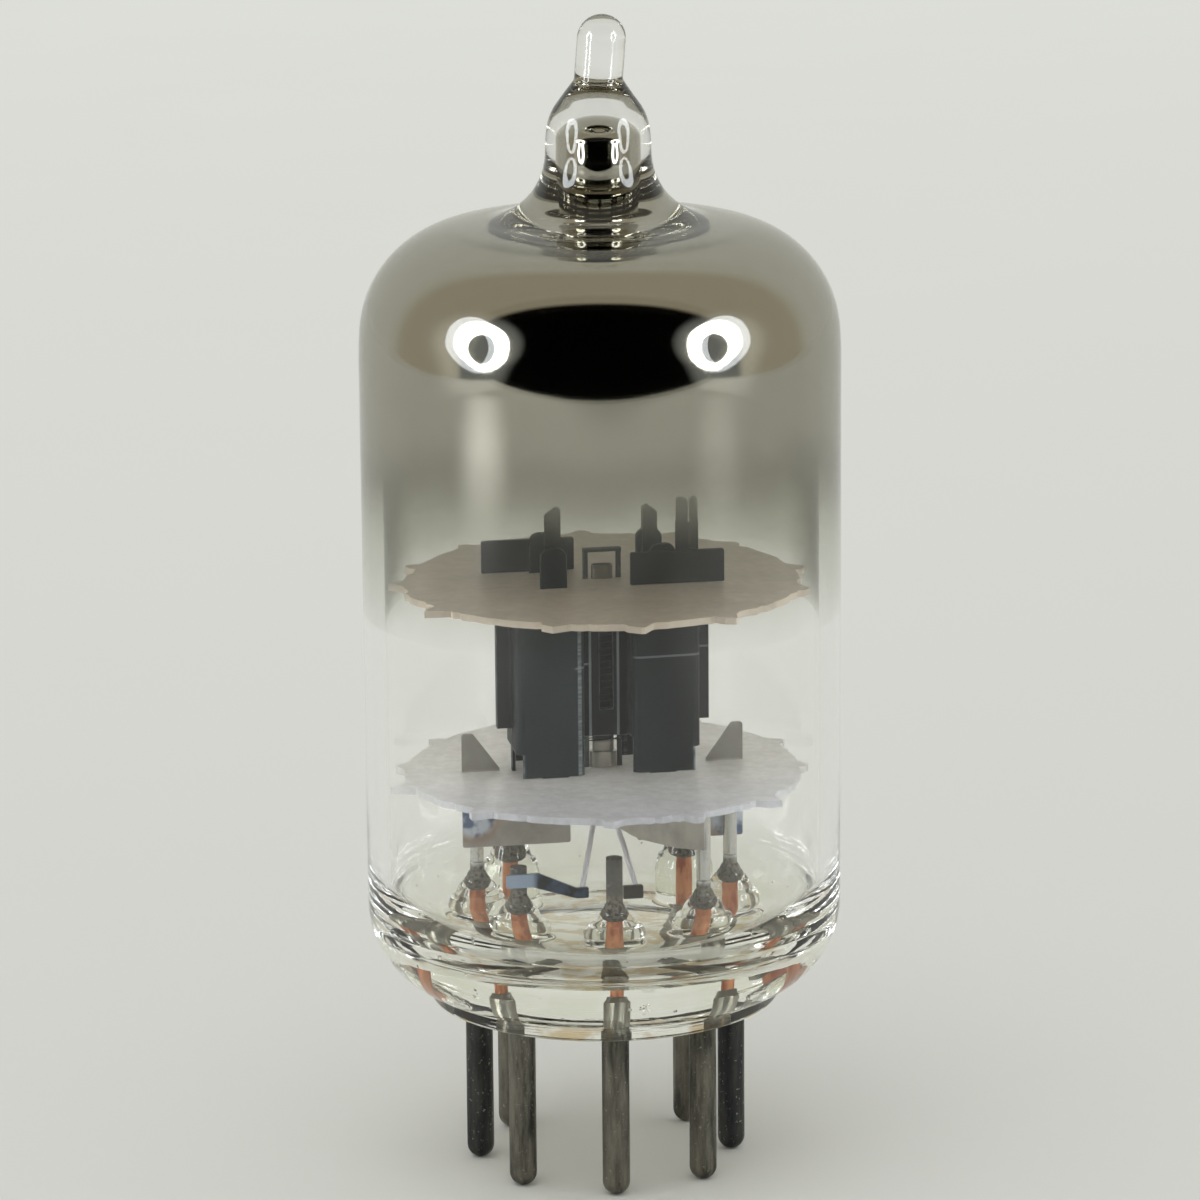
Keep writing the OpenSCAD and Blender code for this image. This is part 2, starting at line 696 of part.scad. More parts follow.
// An anode strap joins a tab of the anode's back half to the lead on pin 1 or 7
module anode_strap(i, side) {
    y = face_y + weld_gap + strap_t / 2;
    bend = [side * (ear_x + ear_w / 2 - 0.1), y];
    end = past_lead(bend, lead_place(i), lead_r + weld_gap + strap_t / 2, side, 0.4);
    color("slategray") on_cage() translate([0, 0, strap_z - anode_strap_h]) linear_extrude(anode_strap_h)
        polygon(strip([[side * (ear_x - ear_w / 2), y], bend, end], strap_t));
}

// The heater: legs bound to the two tabs, and a folded run up inside the sleeve
tab_3_z = knot_top_z + post_3_h - 0.45;
tab_3_y = lead_place(3).y - post_d / 2 - weld_gap - heater_tab_t / 2;
tab_4_z = knot_top_z + 0.35;
tab_4_y = lead_place(4).y;
heater_gap = heater_tab_t / 2 + heater_d / 2 + weld_gap;
heater_end_3 = [lead_place(3).x + heater_tab_reach - 0.22, tab_3_y + heater_gap, tab_3_z - heater_tab_drop + 0.05];
heater_end_4 = [lead_place(4).x + short_tab_reach - 0.2, tab_4_y + heater_gap, tab_4_z + 0.05];

function between(p, q, s) = p + (q - p) * s;
function spline_point(a, b, c, d, s) =
    (2 * b + (c - a) * s + (2 * a - 5 * b + 4 * c - d) * s * s + (3 * b - a - 3 * c + d) * s * s * s) / 2;
function spline(p, n) = concat(
    [for (k = [0:len(p) - 2], j = [0:n - 1])
        spline_point(p[max(k - 1, 0)], p[k], p[k + 1], p[min(k + 2, len(p) - 1)], j / n)],
    [p[len(p) - 1]]
);
module heater() {
    x = heater_pitch / 2;
    low = lower_z - cathode_drop;
    turn_z = upper_z - 1.2;
    leg_3 = [
        heater_end_3, between(heater_end_3, [-0.5, -0.5, low - 1.4], 0.5),
        [-0.44, -0.24, low - 1.35], [-0.28, 0.04, low - 0.75], [-x, 0, low]
    ];
    leg_4 = [
        [x, 0, low], [0.4, 0.05, low - 0.85], [0.56, -0.14, low - 1.7],
        [0.56, -1.0, low - 1.95], between([0.56, -1.0, low - 1.95], heater_end_4, 0.5), heater_end_4
    ];
    color("white") on_cage() tube_along(concat(
        spline(leg_3, 4),
        [for (k = [0:6]) [-x * cos(30 * k), 0, turn_z + x * sin(30 * k)]],
        spline(leg_4, 4)
    ), heater_d);
}
module heater_tab_3() {
    x = lead_place(3).x;
    h = heater_tab_h / 2;
    end = heater_tab_reach;
    color("steelblue") on_cage() upright(tab_3_y, heater_tab_t) translate([x, tab_3_z]) polygon(rounded([
        [-0.5, -h, 0.05], [0.45, -h, 0.2], [end - 0.45, -h - heater_tab_drop + 0.1, 0.1],
        [end, -h - heater_tab_drop + 0.1, 0.05], [end, h - heater_tab_drop, 0.05],
        [end - 0.45, h - heater_tab_drop, 0.1], [0.7, h, 0.3], [-0.5, h, 0.05]
    ]));
}
module heater_tab_4() {
    x = lead_place(4).x + post_d / 2 + weld_gap;
    h = heater_tab_h / 2;
    end = lead_place(4).x + short_tab_reach;
    color("dimgray") on_cage() upright(tab_4_y, heater_tab_t) translate([0, tab_4_z])
        polygon(rounded([[x, -h, 0.04], [end, -h, 0.06], [end, h, 0.06], [x, h, 0.04]]));
}

// The getter plates stand on the upper mica against two of the anode's ears
module getter_plate() {
    color("black") on_cage() upright(-face_y - weld_gap - getter_plate_t / 2, getter_plate_t)
        translate([getter_plate_x, deck_z + rest_gap]) polygon(rounded([
            [0, 0, 0.04], [getter_plate_w, 0, 0.04],
            [getter_plate_w, getter_plate_h, 0.08], [0, getter_plate_h, 0.08]
        ]));
}
module getter_plate_left() {
    rotate([0, 0, 180]) getter_plate();
}
module getter_plate_right() {
    getter_plate();
}

// A getter post: an angle of strip behind an ear, with a pointed end
module getter_post(h) {
    w = getter_post_w / 2;
    y = weld_gap - inner_y;
    color("saddlebrown") on_cage() intersection() {
        translate([-ear_x, y, deck_z + rest_gap]) linear_extrude(h) polygon([
            [-w, 0], [w, 0], [w, getter_post_d], [w - getter_post_t, getter_post_d],
            [w - getter_post_t, getter_post_t], [-w, getter_post_t]
        ]);
        upright(y + getter_post_d / 2, getter_post_d + 1) translate([-ear_x, deck_z])
            polygon([[-w, 0], [w, 0], [w, h - 0.1], [w / 3, h + rest_gap], [-w, h - 0.3]]);
    }
}
module getter_post_left() {
    getter_post(getter_post_left_h);
}
module getter_post_right() {
    rotate([0, 0, 180]) getter_post(getter_post_right_h);
}

// The leaf: a strip folded along its middle whose end is cut to two lobes
module getter_leaf() {
    w = leaf_w / 2;
    y = weld_gap + getter_post_t - face_y;
    lobe_r = leaf_w / 4;
    color("saddlebrown") on_cage() intersection() {
        translate([leaf_x, y, deck_z + rest_gap]) linear_extrude(leaf_h)
            polygon(strip([[-w, leaf_d], [0, 0], [w, leaf_d]], getter_post_t));
        upright(y, 2 * leaf_d + 1) translate([leaf_x, deck_z]) {
            translate([-w, 0]) square([leaf_w, leaf_h * 0.7]);
            for (side = [-1, 1]) translate([side * lobe_r, leaf_h * 0.7]) {
                square([leaf_w / 2 - 0.06, 2 * (leaf_h * 0.3 - lobe_r)], center = true);
                translate([0, leaf_h * 0.3 - lobe_r]) circle(r = lobe_r - 0.03);
            }
        }
    }
}

// One line for each piece
bulb();
getter_film();
button_stem();
pin(1);  // pin_1
pin(2);  // pin_2
pin(3);  // pin_3
pin(4);  // pin_4
pin(5);  // pin_5
pin(6);  // pin_6
pin(7);  // pin_7
seal_wire(1);  // seal_wire_1
seal_wire(2);  // seal_wire_2
seal_wire(3);  // seal_wire_3
seal_wire(4);  // seal_wire_4
seal_wire(5);  // seal_wire_5
seal_wire(6);  // seal_wire_6
seal_wire(7);  // seal_wire_7
lead(1, lead_top_z, lead_d);  // lead_1
lead(2, lead_top_z, lead_d);  // lead_2
lead(3, knot_top_z + post_3_h, post_d);  // lead_3
lead(4, knot_top_z + post_4_h, post_d);  // lead_4
lead(5, lead_top_z, lead_d);  // lead_5
lead(6, lead_top_z, lead_d);  // lead_6
lead(7, lead_top_z, lead_d);  // lead_7
lower_mica();
upper_mica();
anode_front();
anode_back();
grid_rod(-1);  // grid_rod_left
grid_rod(1);  // grid_rod_right
grid_winding();
grid_bridge();
cathode_sleeve();
cathode_collar();
heater();
heater_tab_3();
heater_tab_4();
grid_strap_left();
grid_strap_right();
cathode_strap();
anode_strap(1, -1);  // anode_strap_left
anode_strap(7, 1);  // anode_strap_right
getter_plate_left();
getter_plate_right();
getter_post_left();
getter_post_right();
getter_leaf();
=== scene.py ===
import math
import random

import bpy
from bpy.props import FloatProperty, FloatVectorProperty, IntProperty, PointerProperty
from mathutils import Matrix, Vector, noise


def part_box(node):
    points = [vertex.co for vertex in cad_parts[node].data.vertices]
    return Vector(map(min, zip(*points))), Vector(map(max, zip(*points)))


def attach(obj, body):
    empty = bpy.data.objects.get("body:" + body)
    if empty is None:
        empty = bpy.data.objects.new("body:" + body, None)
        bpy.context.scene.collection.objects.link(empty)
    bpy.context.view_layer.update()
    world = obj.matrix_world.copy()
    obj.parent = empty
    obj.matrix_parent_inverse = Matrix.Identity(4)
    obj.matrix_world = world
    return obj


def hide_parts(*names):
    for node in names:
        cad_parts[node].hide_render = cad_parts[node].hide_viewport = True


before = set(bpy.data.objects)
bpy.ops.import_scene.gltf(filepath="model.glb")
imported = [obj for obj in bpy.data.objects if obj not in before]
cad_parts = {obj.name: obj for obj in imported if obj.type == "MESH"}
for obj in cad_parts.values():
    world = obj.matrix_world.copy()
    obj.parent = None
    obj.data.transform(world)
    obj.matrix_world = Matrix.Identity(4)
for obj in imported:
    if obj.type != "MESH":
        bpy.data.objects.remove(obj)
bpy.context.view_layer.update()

bl_info = {
    "name": "Miniature triode dressing",
    "version": (1, 0, 0),
    "blender": (4, 5, 0),
    "location": "3D View > Sidebar > Triode",
    "description": "Glass, mirror film, micas and metal finishes for a seven-pin triode",
    "category": "Object",
}

MM = 0.001
DOUBLES = 0.002 * MM
CUT_MARGIN = 0.1 * MM

# Places that the frame gives, in metres
BULB_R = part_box("bulb")[1].x
CAVITY_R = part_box("getter_film")[1].x
SEAT_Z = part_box("button_stem")[0].z
TIP_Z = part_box("bulb")[1].z
KNOT_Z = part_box("lead_4")[0].z
CAGE_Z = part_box("lower_mica")[1].z
UPPER_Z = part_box("upper_mica")[0].z
DECK_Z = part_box("upper_mica")[1].z
WALL = BULB_R - CAVITY_R

# Places and sizes in the glass and the micas
WALL_RINGS = (14 * MM, 20 * MM, 26 * MM)
RUN_GAP = 0.2 * MM
MICA_EDGE = 7.5 * MM
BEAD_WAIST = 0.04 * MM
BEAD_FILLET = 0.2 * MM

# Places on the stage
FLOOR_END = -147 * MM
LEFT_RING = Vector((-139, -81, 68)) * MM
RIGHT_RING = Vector((136, -86, 68)) * MM
LEFT_SPOT = Vector((-118, -70, 0.3)) * MM
RIGHT_SPOT = Vector((118, -70, 0.3)) * MM
TOP_LAMP = Vector((-80, -150, 480)) * MM
LAMP_TARGET = Vector((0, 0, 20)) * MM

# Names of CAD nodes
PINS, LEADS, SEAL_WIRES = ([f"{kind}_{i}" for i in range(1, 8)] for kind in ("pin", "lead", "seal_wire"))
SIDES = ("left", "right")
STRAPS = ["cathode_strap"] + [f"{kind}_strap_{side}" for kind in ("grid", "anode") for side in SIDES]
GETTERS = ["getter_leaf"] + [f"getter_{kind}_{side}" for kind in ("plate", "post") for side in SIDES]
TALL_BEADS = ("pin_1", "pin_7")
ROUGH_LEADS = ("lead_3", "lead_4")


def middle(node):
    """The centre of a CAD node's box."""
    low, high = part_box(node)
    return (low + high) / 2


def linear(red, green, blue):
    """A colour given as 0 to 255 on screen, as the linear values that a shader takes."""
    def one(value):
        value /= 255
        return value / 12.92 if value <= 0.04045 else ((value + 0.055) / 1.055) ** 2.4
    return one(red), one(green), one(blue)


def length(label, text, value):
    return FloatProperty(
        name=label, description=text, default=value, min=0, precision=5, unit="LENGTH",
        subtype="DISTANCE")


def angle(label, text, degrees):
    return FloatProperty(
        name=label, description=text, default=math.radians(degrees), unit="ROTATION", subtype="ANGLE")


def share(label, text, value):
    return FloatProperty(name=label, description=text, default=value, min=0, max=1, subtype="FACTOR")


def amount(label, text, value):
    return FloatProperty(name=label, description=text, default=value, min=0)


def tint(label, text, *screen):
    return FloatVectorProperty(
        name=label, description=text, default=linear(*screen), min=0, max=1, size=3, subtype="COLOR")


class GlassSettings(bpy.types.PropertyGroup):
    """Sizes and colours of the glass."""
    foot_r: length("Foot corner", "Outer radius of the lower corner", 3.4 * MM)
    foot_rise: length("Foot rise", "Height of the lower corner's centre over the underside", 3.7 * MM)
    run_in_r: length("Dome run-in", "Radius where the wall starts to turn into the dome", 14 * MM)
    run_in_angle: angle("Run-in angle", "Angle at which the run-in meets the corner", 5)
    corner_r: length("Dome corner", "Radius of the dome's corner", 4.2 * MM)
    corner_angle: angle("Corner angle", "Angle at which the corner meets the crown", 79)
    crown_r: length("Crown", "Radius of the flatter crown", 11.3 * MM)
    crown_rise: length("Crown height", "Height of the crown over the underside", 29.43 * MM)
    flare_r: length("Flare", "Radius between the crown and the stub", 2.5 * MM)
    stub_r: length("Stub", "Radius of the tube stub at its widest", 1.94 * MM)
    barrel_r: length("Barrel", "Radius of the stub's gentle upward taper", 6.0 * MM)
    barrel_angle: angle("Barrel angle", "Slope at which the taper meets the shoulder", 8)
    shoulder_r: length("Shoulder", "Radius of the shoulder under the tip", 2.0 * MM)
    shoulder_angle: angle("Shoulder angle", "Slope of the cone between the shoulder and the tip", 36)
    neck_r: length("Neck", "Radius between the cone and the tip", 0.3 * MM)
    tip_r: length("Tip", "Radius of the sealed tip", 0.89 * MM)
    tip_lean: length("Tip lean", "How far the tip leans to one side", 0.16 * MM)
    bore_r: length("Bore", "Radius of the bore in the stub", 1.02 * MM)
    bore_rise: length("Bore height", "Height of the bore's closed end over the crown", 3.45 * MM)
    mouth_r: length("Bore mouth", "Radius round the mouth of the bore", 0.5 * MM)
    button_t: length("Button", "Thickness of the pressed button", 2.45 * MM)
    button_r: length("Button top", "Radius of the button's flat top", 6.25 * MM)
    hollow_r: length("Hollow corner", "Radius of the cavity's thick lower corner", 2.8 * MM)
    bead_r: length("Bead", "Radius of a bead at its widest", 1.14 * MM)
    bead_neck_r: length("Bead neck", "Radius of a bead at its top", 0.5 * MM)
    bead_rise: length("Bead height", "Height of a bead over the button", 2.05 * MM)
    tall_rise: length("Tall bead", "Extra height of the two tall beads", 0.6 * MM)
    steps: IntProperty(name="Steps", description="Faces round the bulb", default=160, min=24)
    ior: amount("IOR", "Refractive index of the glass", 1.5)
    colour: tint("Glass", "Colour of the clear glass", 255, 255, 254)
    thick: tint("Thick glass", "Olive cast of the thick glass at the foot", 240, 241, 226)
    stain: tint("Stain", "Amber stain at the seal", 188, 150, 84)
    ripple: length("Ripple", "Height of the ripples in the pressed glass", 0.01 * MM)
    bubbles: IntProperty(name="Bubbles", description="Number of small bubbles", default=110, min=0)
    bubble_r: length("Bubble", "Radius of the largest bubbles", 0.085 * MM)


class FilmSettings(bpy.types.PropertyGroup):
    """Sizes and colours of the getter's mirror film."""
    bite: length("Bite", "How far the film reaches into the glass", 0.012 * MM)
    thickness: length("Thickness", "Thickness of the film", 0.02 * MM)
    clear_z: length("Clear", "Height below which the film is clear", 21.2 * MM)
    brown_z: length("Brown", "Height at which the film is brown and still lets light through", 25.5 * MM)
    mirror_z: length("Mirror", "Height above which the film is a full mirror", 29.2 * MM)
    colour: tint("Film", "Colour of the mirror film", 166, 163, 150)
    filter: tint("Filter", "What the thin brown film lets through", 229, 229, 224)
    grazing: tint("Grazing filter", "What the film lets through when seen nearly edge on", 128, 124, 106)
    roughness: share("Roughness", "Roughness of the film", 0.04)


class MicaSettings(bpy.types.PropertyGroup):
    """Sizes and colours of the mica spacers."""
    bite: length("Bite", "Depth of the torn bites in the edge", 0.22 * MM)
    lower: tint("Lower mica", "Colour of the lower mica", 250, 248, 243)
    # Painted reflection: the lower mica's front half is tinted lilac for what it reflects.
    front: tint("Lilac", "Lilac sheen of the lower mica's front", 238, 238, 244)
    upper: tint("Upper mica", "Colour of the upper mica", 255, 238, 220)
    lower_body: share("Lower body", "How opaque the lower mica is", 0.7)
    upper_body: share("Upper body", "How opaque the upper mica is", 0.93)


class MetalSettings(bpy.types.PropertyGroup):
    """Colours of the metal parts."""
    pin: tint("Pins", "Bare metal of the pins", 128, 124, 112)
    tarnish: tint("Tarnish", "Dark tarnish of the pins", 52, 51, 46)
    copper: tint("Seal wire", "Oxidised copper of the seal wires", 224, 152, 108)
    lead: tint("Leads", "Bright nickel of the leads", 205, 205, 202)
    post: tint("Posts", "Dull metal of the two posts behind the heater's tabs", 104, 102, 96)
    knot: tint("Knots", "Rough weld knots", 132, 127, 114)
    anode: tint("Anode", "Carbonised sheet of the anode", 47, 54, 56)
    # Also the colour of the painted highlights on the anode's edges, rails and rim; on its scratches it
    # is bare metal.
    edge: tint("Worn edges", "Bare metal on the anode's worn edges and scratches", 158, 166, 168)
    nickel: tint("Nickel", "Nickel of the straps", 184, 180, 170)
    blue: tint("Blued tabs", "Blued metal of the heater's tabs", 66, 80, 102)
    heat: tint("Heat tint", "Blue tint beside the welds", 72, 98, 136)
    rust: tint("Rust", "Brown tint round the blue one", 158, 118, 88)
    grid: tint("Grid", "Dull metal of the grid's rods and winding", 96, 100, 98)
    getter: tint("Getters", "Dark metal of the getter strips", 38, 34, 29)
    coating: tint("Coating", "White coating of the heater", 240, 238, 242)


class StageSettings(bpy.types.PropertyGroup):
    """The camera, the floor and the lamps."""
    distance: length("Distance", "Camera's distance from the tube's axis", 200 * MM)
    height: length("Height", "Camera's height over the floor", 69.5 * MM)
    pitch: angle("Pitch", "How far the camera looks down", 13.49)
    turn: angle("Turn", "Turn of the camera round the tube", -4.4)
    lens: FloatProperty(name="Lens", description="Focal length in millimetres", default=166.5, min=1)
    roll: angle("Roll", "How far the camera leans to one side", 0.48)
    shift: FloatProperty(name="Shift", description="Sideways shift of the picture", default=0.0075)
    floor: tint("Floor", "Colour of the floor", 226, 227, 220)
    shade: share("Front shade", "How much darker mirrors show the floor in front", 0.42)
    # Painted light: the floor is painted lighter far behind the tube.
    far: tint("Far floor", "Colour of the floor far behind the tube", 247, 249, 242)
    room: tint("Room", "What lies past the sheet at the sides", 204, 197, 180)
    world: amount("World", "Strength of the soft light from all round", 0.74)
    top: amount("Top lamp", "Power of the soft lamp overhead", 0.45)
    glow: amount("Bright floor", "How much light mirrors see under the left ring lamp", 0.9)
    ring: amount("Ring lamps", "Brightness of the two ring lamps in mirrors", 11)
    sheet_x: length("Sheet width", "How far the pale sheet reaches to the sides", 232 * MM)
    sheet_y: length("Sheet depth", "How far the pale sheet reaches to the front", 168 * MM)


SETTINGS = {
    "tube_glass": GlassSettings,
    "tube_film": FilmSettings,
    "tube_mica": MicaSettings,
    "tube_metal": MetalSettings,
    "tube_stage": StageSettings,
}


# Modelling helpers

def object_mode():
    if bpy.context.object and bpy.context.object.mode != "OBJECT":
        bpy.ops.object.mode_set(mode="OBJECT")


def deselect_all():
    object_mode()
    bpy.ops.object.select_all(action="DESELECT")


def pick(obj):
    """Makes one object the only selected one and the active one."""
    deselect_all()
    obj.select_set(True)
    bpy.context.view_layer.objects.active = obj


def edit_mode(obj):
    """Opens one object's mesh with the whole of it selected."""
    pick(obj)
    bpy.ops.object.mode_set(mode="EDIT")
    bpy.ops.mesh.select_mode(type="VERT")
    bpy.ops.mesh.select_all(action="SELECT")


def primitive(kind, name, **settings):
    """Adds a mesh primitive with nothing else selected."""
    deselect_all()
    getattr(bpy.ops.mesh, f"primitive_{kind}_add")(**settings)
    obj = bpy.context.object
    obj.name = name
    return obj


def outward(inward=False):
    """Turns the selected faces outward, or inward for a hollow."""
    bpy.ops.mesh.select_all(action="SELECT")
    bpy.ops.mesh.normals_make_consistent(inside=inward)


def weld(threshold=DOUBLES, inward=False):
    """Merges the open mesh's doubled points and turns its faces."""
    bpy.ops.mesh.select_all(action="SELECT")
    bpy.ops.mesh.remove_doubles(threshold=threshold)
    outward(inward)


def lathe(name, profile, steps, centre=(0, 0)):
    """Turns an outline of (radius, height) points round an upright axis."""
    obj = primitive("plane", name, size=MM)
    edit_mode(obj)
    bpy.ops.mesh.merge(type="CENTER")
    across, up = profile[0]
    bpy.ops.transform.translate(value=(centre[0] + across, centre[1], up))
    for (r0, z0), (r1, z1) in zip(profile, profile[1:]):
        bpy.ops.mesh.extrude_region_move(TRANSFORM_OT_translate={"value": (r1 - r0, 0, z1 - z0)})
    bpy.ops.mesh.select_all(action="SELECT")
    bpy.ops.mesh.spin(steps=steps, angle=math.tau, center=(*centre, 0), axis=(0, 0, 1))
    weld()
    object_mode()
    return obj


def copy_of(obj, name):
    """A copy with its own mesh."""
    twin = obj.copy()
    twin.data = obj.data.copy()
    twin.name = name
    bpy.context.scene.collection.objects.link(twin)
    return twin


def cad_copy(node, name):
    """A copy of a CAD node whose loose triangles are merged into one surface."""
    twin = copy_of(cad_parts[node], name)
    twin.parent = None
    for key in list(twin.keys()):
        del twin[key]
    edit_mode(twin)
    bpy.ops.mesh.customdata_custom_splitnormals_clear()
    weld(DOUBLES / 2)
    object_mode()
    return twin


def join(main, *others):
    """Joins objects into the first of them."""
    pick(main)
    for obj in others:
        obj.select_set(True)
    bpy.ops.object.join()
    return main


def apply(obj, kind, **settings):
    """Adds a modifier and applies it."""
    pick(obj)
    modifier = obj.modifiers.new(kind.title(), kind)
    for key, value in settings.items():
        setattr(modifier, key, value)
    bpy.ops.object.modifier_apply(modifier=modifier.name)


def smooth(obj, degrees):
    """Shades an object smooth but for its sharper edges."""
    pick(obj)
    bpy.ops.object.shade_smooth_by_angle(angle=math.radians(degrees), keep_sharp_edges=False)


def settle(obj, material, slot, *nodes):
    """Gives a finished piece its material and its body, and hides the CAD nodes that it stands for."""
    obj.data.materials.clear()
    obj.data.materials.append(material)
    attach(obj, "root")
    if nodes:
        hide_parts(*nodes)


def dress(material, *nodes):
    """Gives CAD nodes a material and leaves their meshes as they are."""
    for node in nodes:
        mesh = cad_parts[node].data
        mesh.materials.clear()
        mesh.materials.append(material)


def arc(centre, radius, start, end, steps):
    """Points of an arc; angles are in radians, from the outward direction."""
    turns = [start + (end - start) * k / steps for k in range(steps + 1)]
    return [(centre[0] + radius * math.cos(a), centre[1] + radius * math.sin(a)) for a in turns]


class Finish:
    """One procedural material, or the world's, built node by node on Object coordinates."""

    def __init__(self, name, owner=None):
        self.owner = owner or bpy.data.materials.new(name)
        self.owner.use_nodes = True
        self.tree = self.owner.node_tree
        self.tree.nodes.clear()
        self.place = self.add("ShaderNodeTexCoord").outputs["Object"]
        self.x, self.y, self.z = self.add("ShaderNodeSeparateXYZ", {0: self.place}).outputs

    def add(self, kind, values=None, **settings):
        node = self.tree.nodes.new(kind)
        for key, value in settings.items():
            setattr(node, key, value)
        for key, value in (values or {}).items():
            socket = node.inputs[key]
            if isinstance(value, bpy.types.NodeSocket):
                self.tree.links.new(value, socket)
            elif socket.type == "RGBA" and len(value) == 3:
                socket.default_value = (*value, 1)
            else:
                socket.default_value = value
        return node

    def out(self, kind, values=None, **settings):
        """Adds a node and gives its first output."""
        return self.add(kind, values, **settings).outputs[0]

    def moved(self, shift=(0, 0, 0), stretch=(1, 1, 1)):
        values = {"Vector": self.place, "Location": shift, "Scale": stretch}
        return self.out("ShaderNodeMapping", values)

    def noise(self, size, detail=3.0, rough=0.55, stretch=(1, 1, 1), shift=(0, 0, 0)):
        """A soft pattern with marks of about the given size in metres."""
        return self.noise_at(self.moved(shift, stretch), size, detail, rough)

    def noise_at(self, place, size, detail=3.0, rough=0.5):
        values = {"Vector": place, "Scale": 1 / size, "Detail": detail, "Roughness": rough}
        return self.add("ShaderNodeTexNoise", values).outputs["Fac"]

    def ramp(self, value, low, high, to_low=0.0, to_high=1.0, kind="SMOOTHSTEP"):
        """Maps a run of values onto another and holds it at both ends."""
        values = {"Value": value, "From Min": low, "From Max": high, "To Min": to_low, "To Max": to_high}
        return self.out("ShaderNodeMapRange", values, interpolation_type=kind)

    def fall(self, value, low, high):
        """One up to the low end and zero from the high end on."""
        return self.ramp(value, low, high, 1.0, 0.0)

    def maths(self, operation, a, b=0.0):
        return self.out("ShaderNodeMath", {0: a, 1: b}, operation=operation)

    def times(self, a, b):
        return self.maths("MULTIPLY", a, b)

    def plus(self, a, b):
        return self.maths("ADD", a, b)

    def minus(self, a, b):
        return self.maths("SUBTRACT", a, b)

    def most(self, a, b):
        return self.maths("MAXIMUM", a, b)

    def absolute(self, a):
        return self.maths("ABSOLUTE", a)

    def vector(self, operation, a, b=(0, 0, 0)):
        """Vector arithmetic, which gives a number for a length, distance or dot product."""
        node = self.add("ShaderNodeVectorMath", {0: a, 1: b}, operation=operation)
        number = operation in ("LENGTH", "DISTANCE", "DOT_PRODUCT")
        return node.outputs["Value" if number else "Vector"]

    def away(self, point=(0, 0, 0)):
        """The distance from a point."""
        return self.vector("DISTANCE", self.place, tuple(point))

    def radius(self):
        """The distance from the upright axis."""
        return self.vector("LENGTH", self.vector("MULTIPLY", self.place, (1, 1, 0)))

    def ray(self, kind):
        return self.add("ShaderNodeLightPath").outputs[f"Is {kind} Ray"]

    def mix(self, factor, a, b):
        """One colour turning into another."""
        return self.add("ShaderNodeMix", {0: factor, 6: a, 7: b}, data_type="RGBA").outputs[2]

    def painted(self, colour, *coats):
        """A colour with others over it, each given as a mask, how much of it and the colour."""
        for mask, share_of_it, over in coats:
            colour = self.mix(self.times(mask, share_of_it), colour, over)
        return colour

    def bump(self, height, strength, distance):
        values = {"Height": height, "Strength": strength, "Distance": distance}
        return self.out("ShaderNodeBump", values)

    def near(self, point, reach):
        """One near a point and zero past reach."""
        return self.fall(self.away(point), 0, reach)

    def glinting(self, radius):
        """One on sharp edges and zero on flat faces; its users paint highlights there."""
        rounded = self.out("ShaderNodeBevel", {"Radius": radius}, samples=6)
        flat = self.add("ShaderNodeNewGeometry").outputs["True Normal"]
        return self.fall(self.vector("DOT_PRODUCT", rounded, flat), 0.82, 0.98)

    def band(self, value, centre, width):
        """One where a value is within a width of the centre."""
        away = self.absolute(self.minus(value, centre))
        return self.fall(away, width * 0.6, width)

    def surface(self, colour, rough, metal=0.0, normal=None, **more):
        values = {"Base Color": colour, "Roughness": rough, "Metallic": metal}
        if normal is not None:
            values["Normal"] = normal
        values |= {key.replace("_", " "): value for key, value in more.items()}
        return self.out("ShaderNodeBsdfPrincipled", values)

    def coat(self, *values, **more):
        """Finishes a material of one surface."""
        return self.done(self.surface(*values, **more))

    def layered(self, factor, below, above):
        return self.out("ShaderNodeMixShader", {0: factor, 1: below, 2: above})

    def clear(self, colour=(1, 1, 1)):
        return self.out("ShaderNodeBsdfTransparent", {"Color": colour})

    def light(self, colour, strength, kind="ShaderNodeEmission"):
        return self.out(kind, {"Color": colour, "Strength": strength})

    def glowing(self, colour, strength):
        """Finishes a clear material that adds light."""
        light = self.light(colour, strength)
        return self.done(self.out("ShaderNodeAddShader", {0: light, 1: self.clear()}))

    def see_through(self, shader, shadow):
        """Finishes a material that lets shadow rays through with a tint."""
        return self.done(self.layered(self.ray("Shadow"), shader, self.clear(shadow)))

    def done(self, shader, kind="ShaderNodeOutputMaterial"):
        self.add(kind, {"Surface": shader})
        return self.owner


# The glass: its outlines, and the envelope and film that follow them

def dome_centres(g):
    """Centres of the run-in, corner and crown arcs, from the crown's height down."""
    crown_z = SEAT_Z + g.crown_rise - g.crown_r
    corner_z = crown_z + (g.crown_r - g.corner_r) * math.sin(g.corner_angle)
    run_x = BULB_R - g.run_in_r
    run_z = corner_z - (g.run_in_r - g.corner_r) * math.sin(g.run_in_angle)
    corner_x = run_x + (g.run_in_r - g.corner_r) * math.cos(g.run_in_angle)
    crown_x = corner_x - (g.crown_r - g.corner_r) * math.cos(g.corner_angle)
    return (run_x, run_z), (corner_x, corner_z), (crown_x, crown_z)


def wall_top(g):
    """Height at which the straight wall ends, just below the dome."""
    return dome_centres(g)[0][1] - RUN_GAP


def dome_line(g, depth, end_x):
    """The dome from the wall up to a radius near the stub, at a depth in the glass."""
    run, corner, crown = dome_centres(g)
    end = math.acos((end_x - crown[0]) / (g.crown_r - depth))
    return (
        arc(run, g.run_in_r - depth, 0, g.run_in_angle, 6)
        + arc(corner, g.corner_r - depth, g.run_in_angle, g.corner_angle, 24)[1:]
        + arc(crown, g.crown_r - depth, g.corner_angle, end, 12)[1:]
    )


def flare(g):
    """Centre and angle of the flare, which is tangent to the crown and to the stub."""
    crown = dome_centres(g)[2]
    x = g.stub_r + g.flare_r
    reach = g.crown_r + g.flare_r
    z = crown[1] + math.sqrt(reach ** 2 - (x - crown[0]) ** 2)
    return (x, z), math.acos((crown[0] - x) / reach)


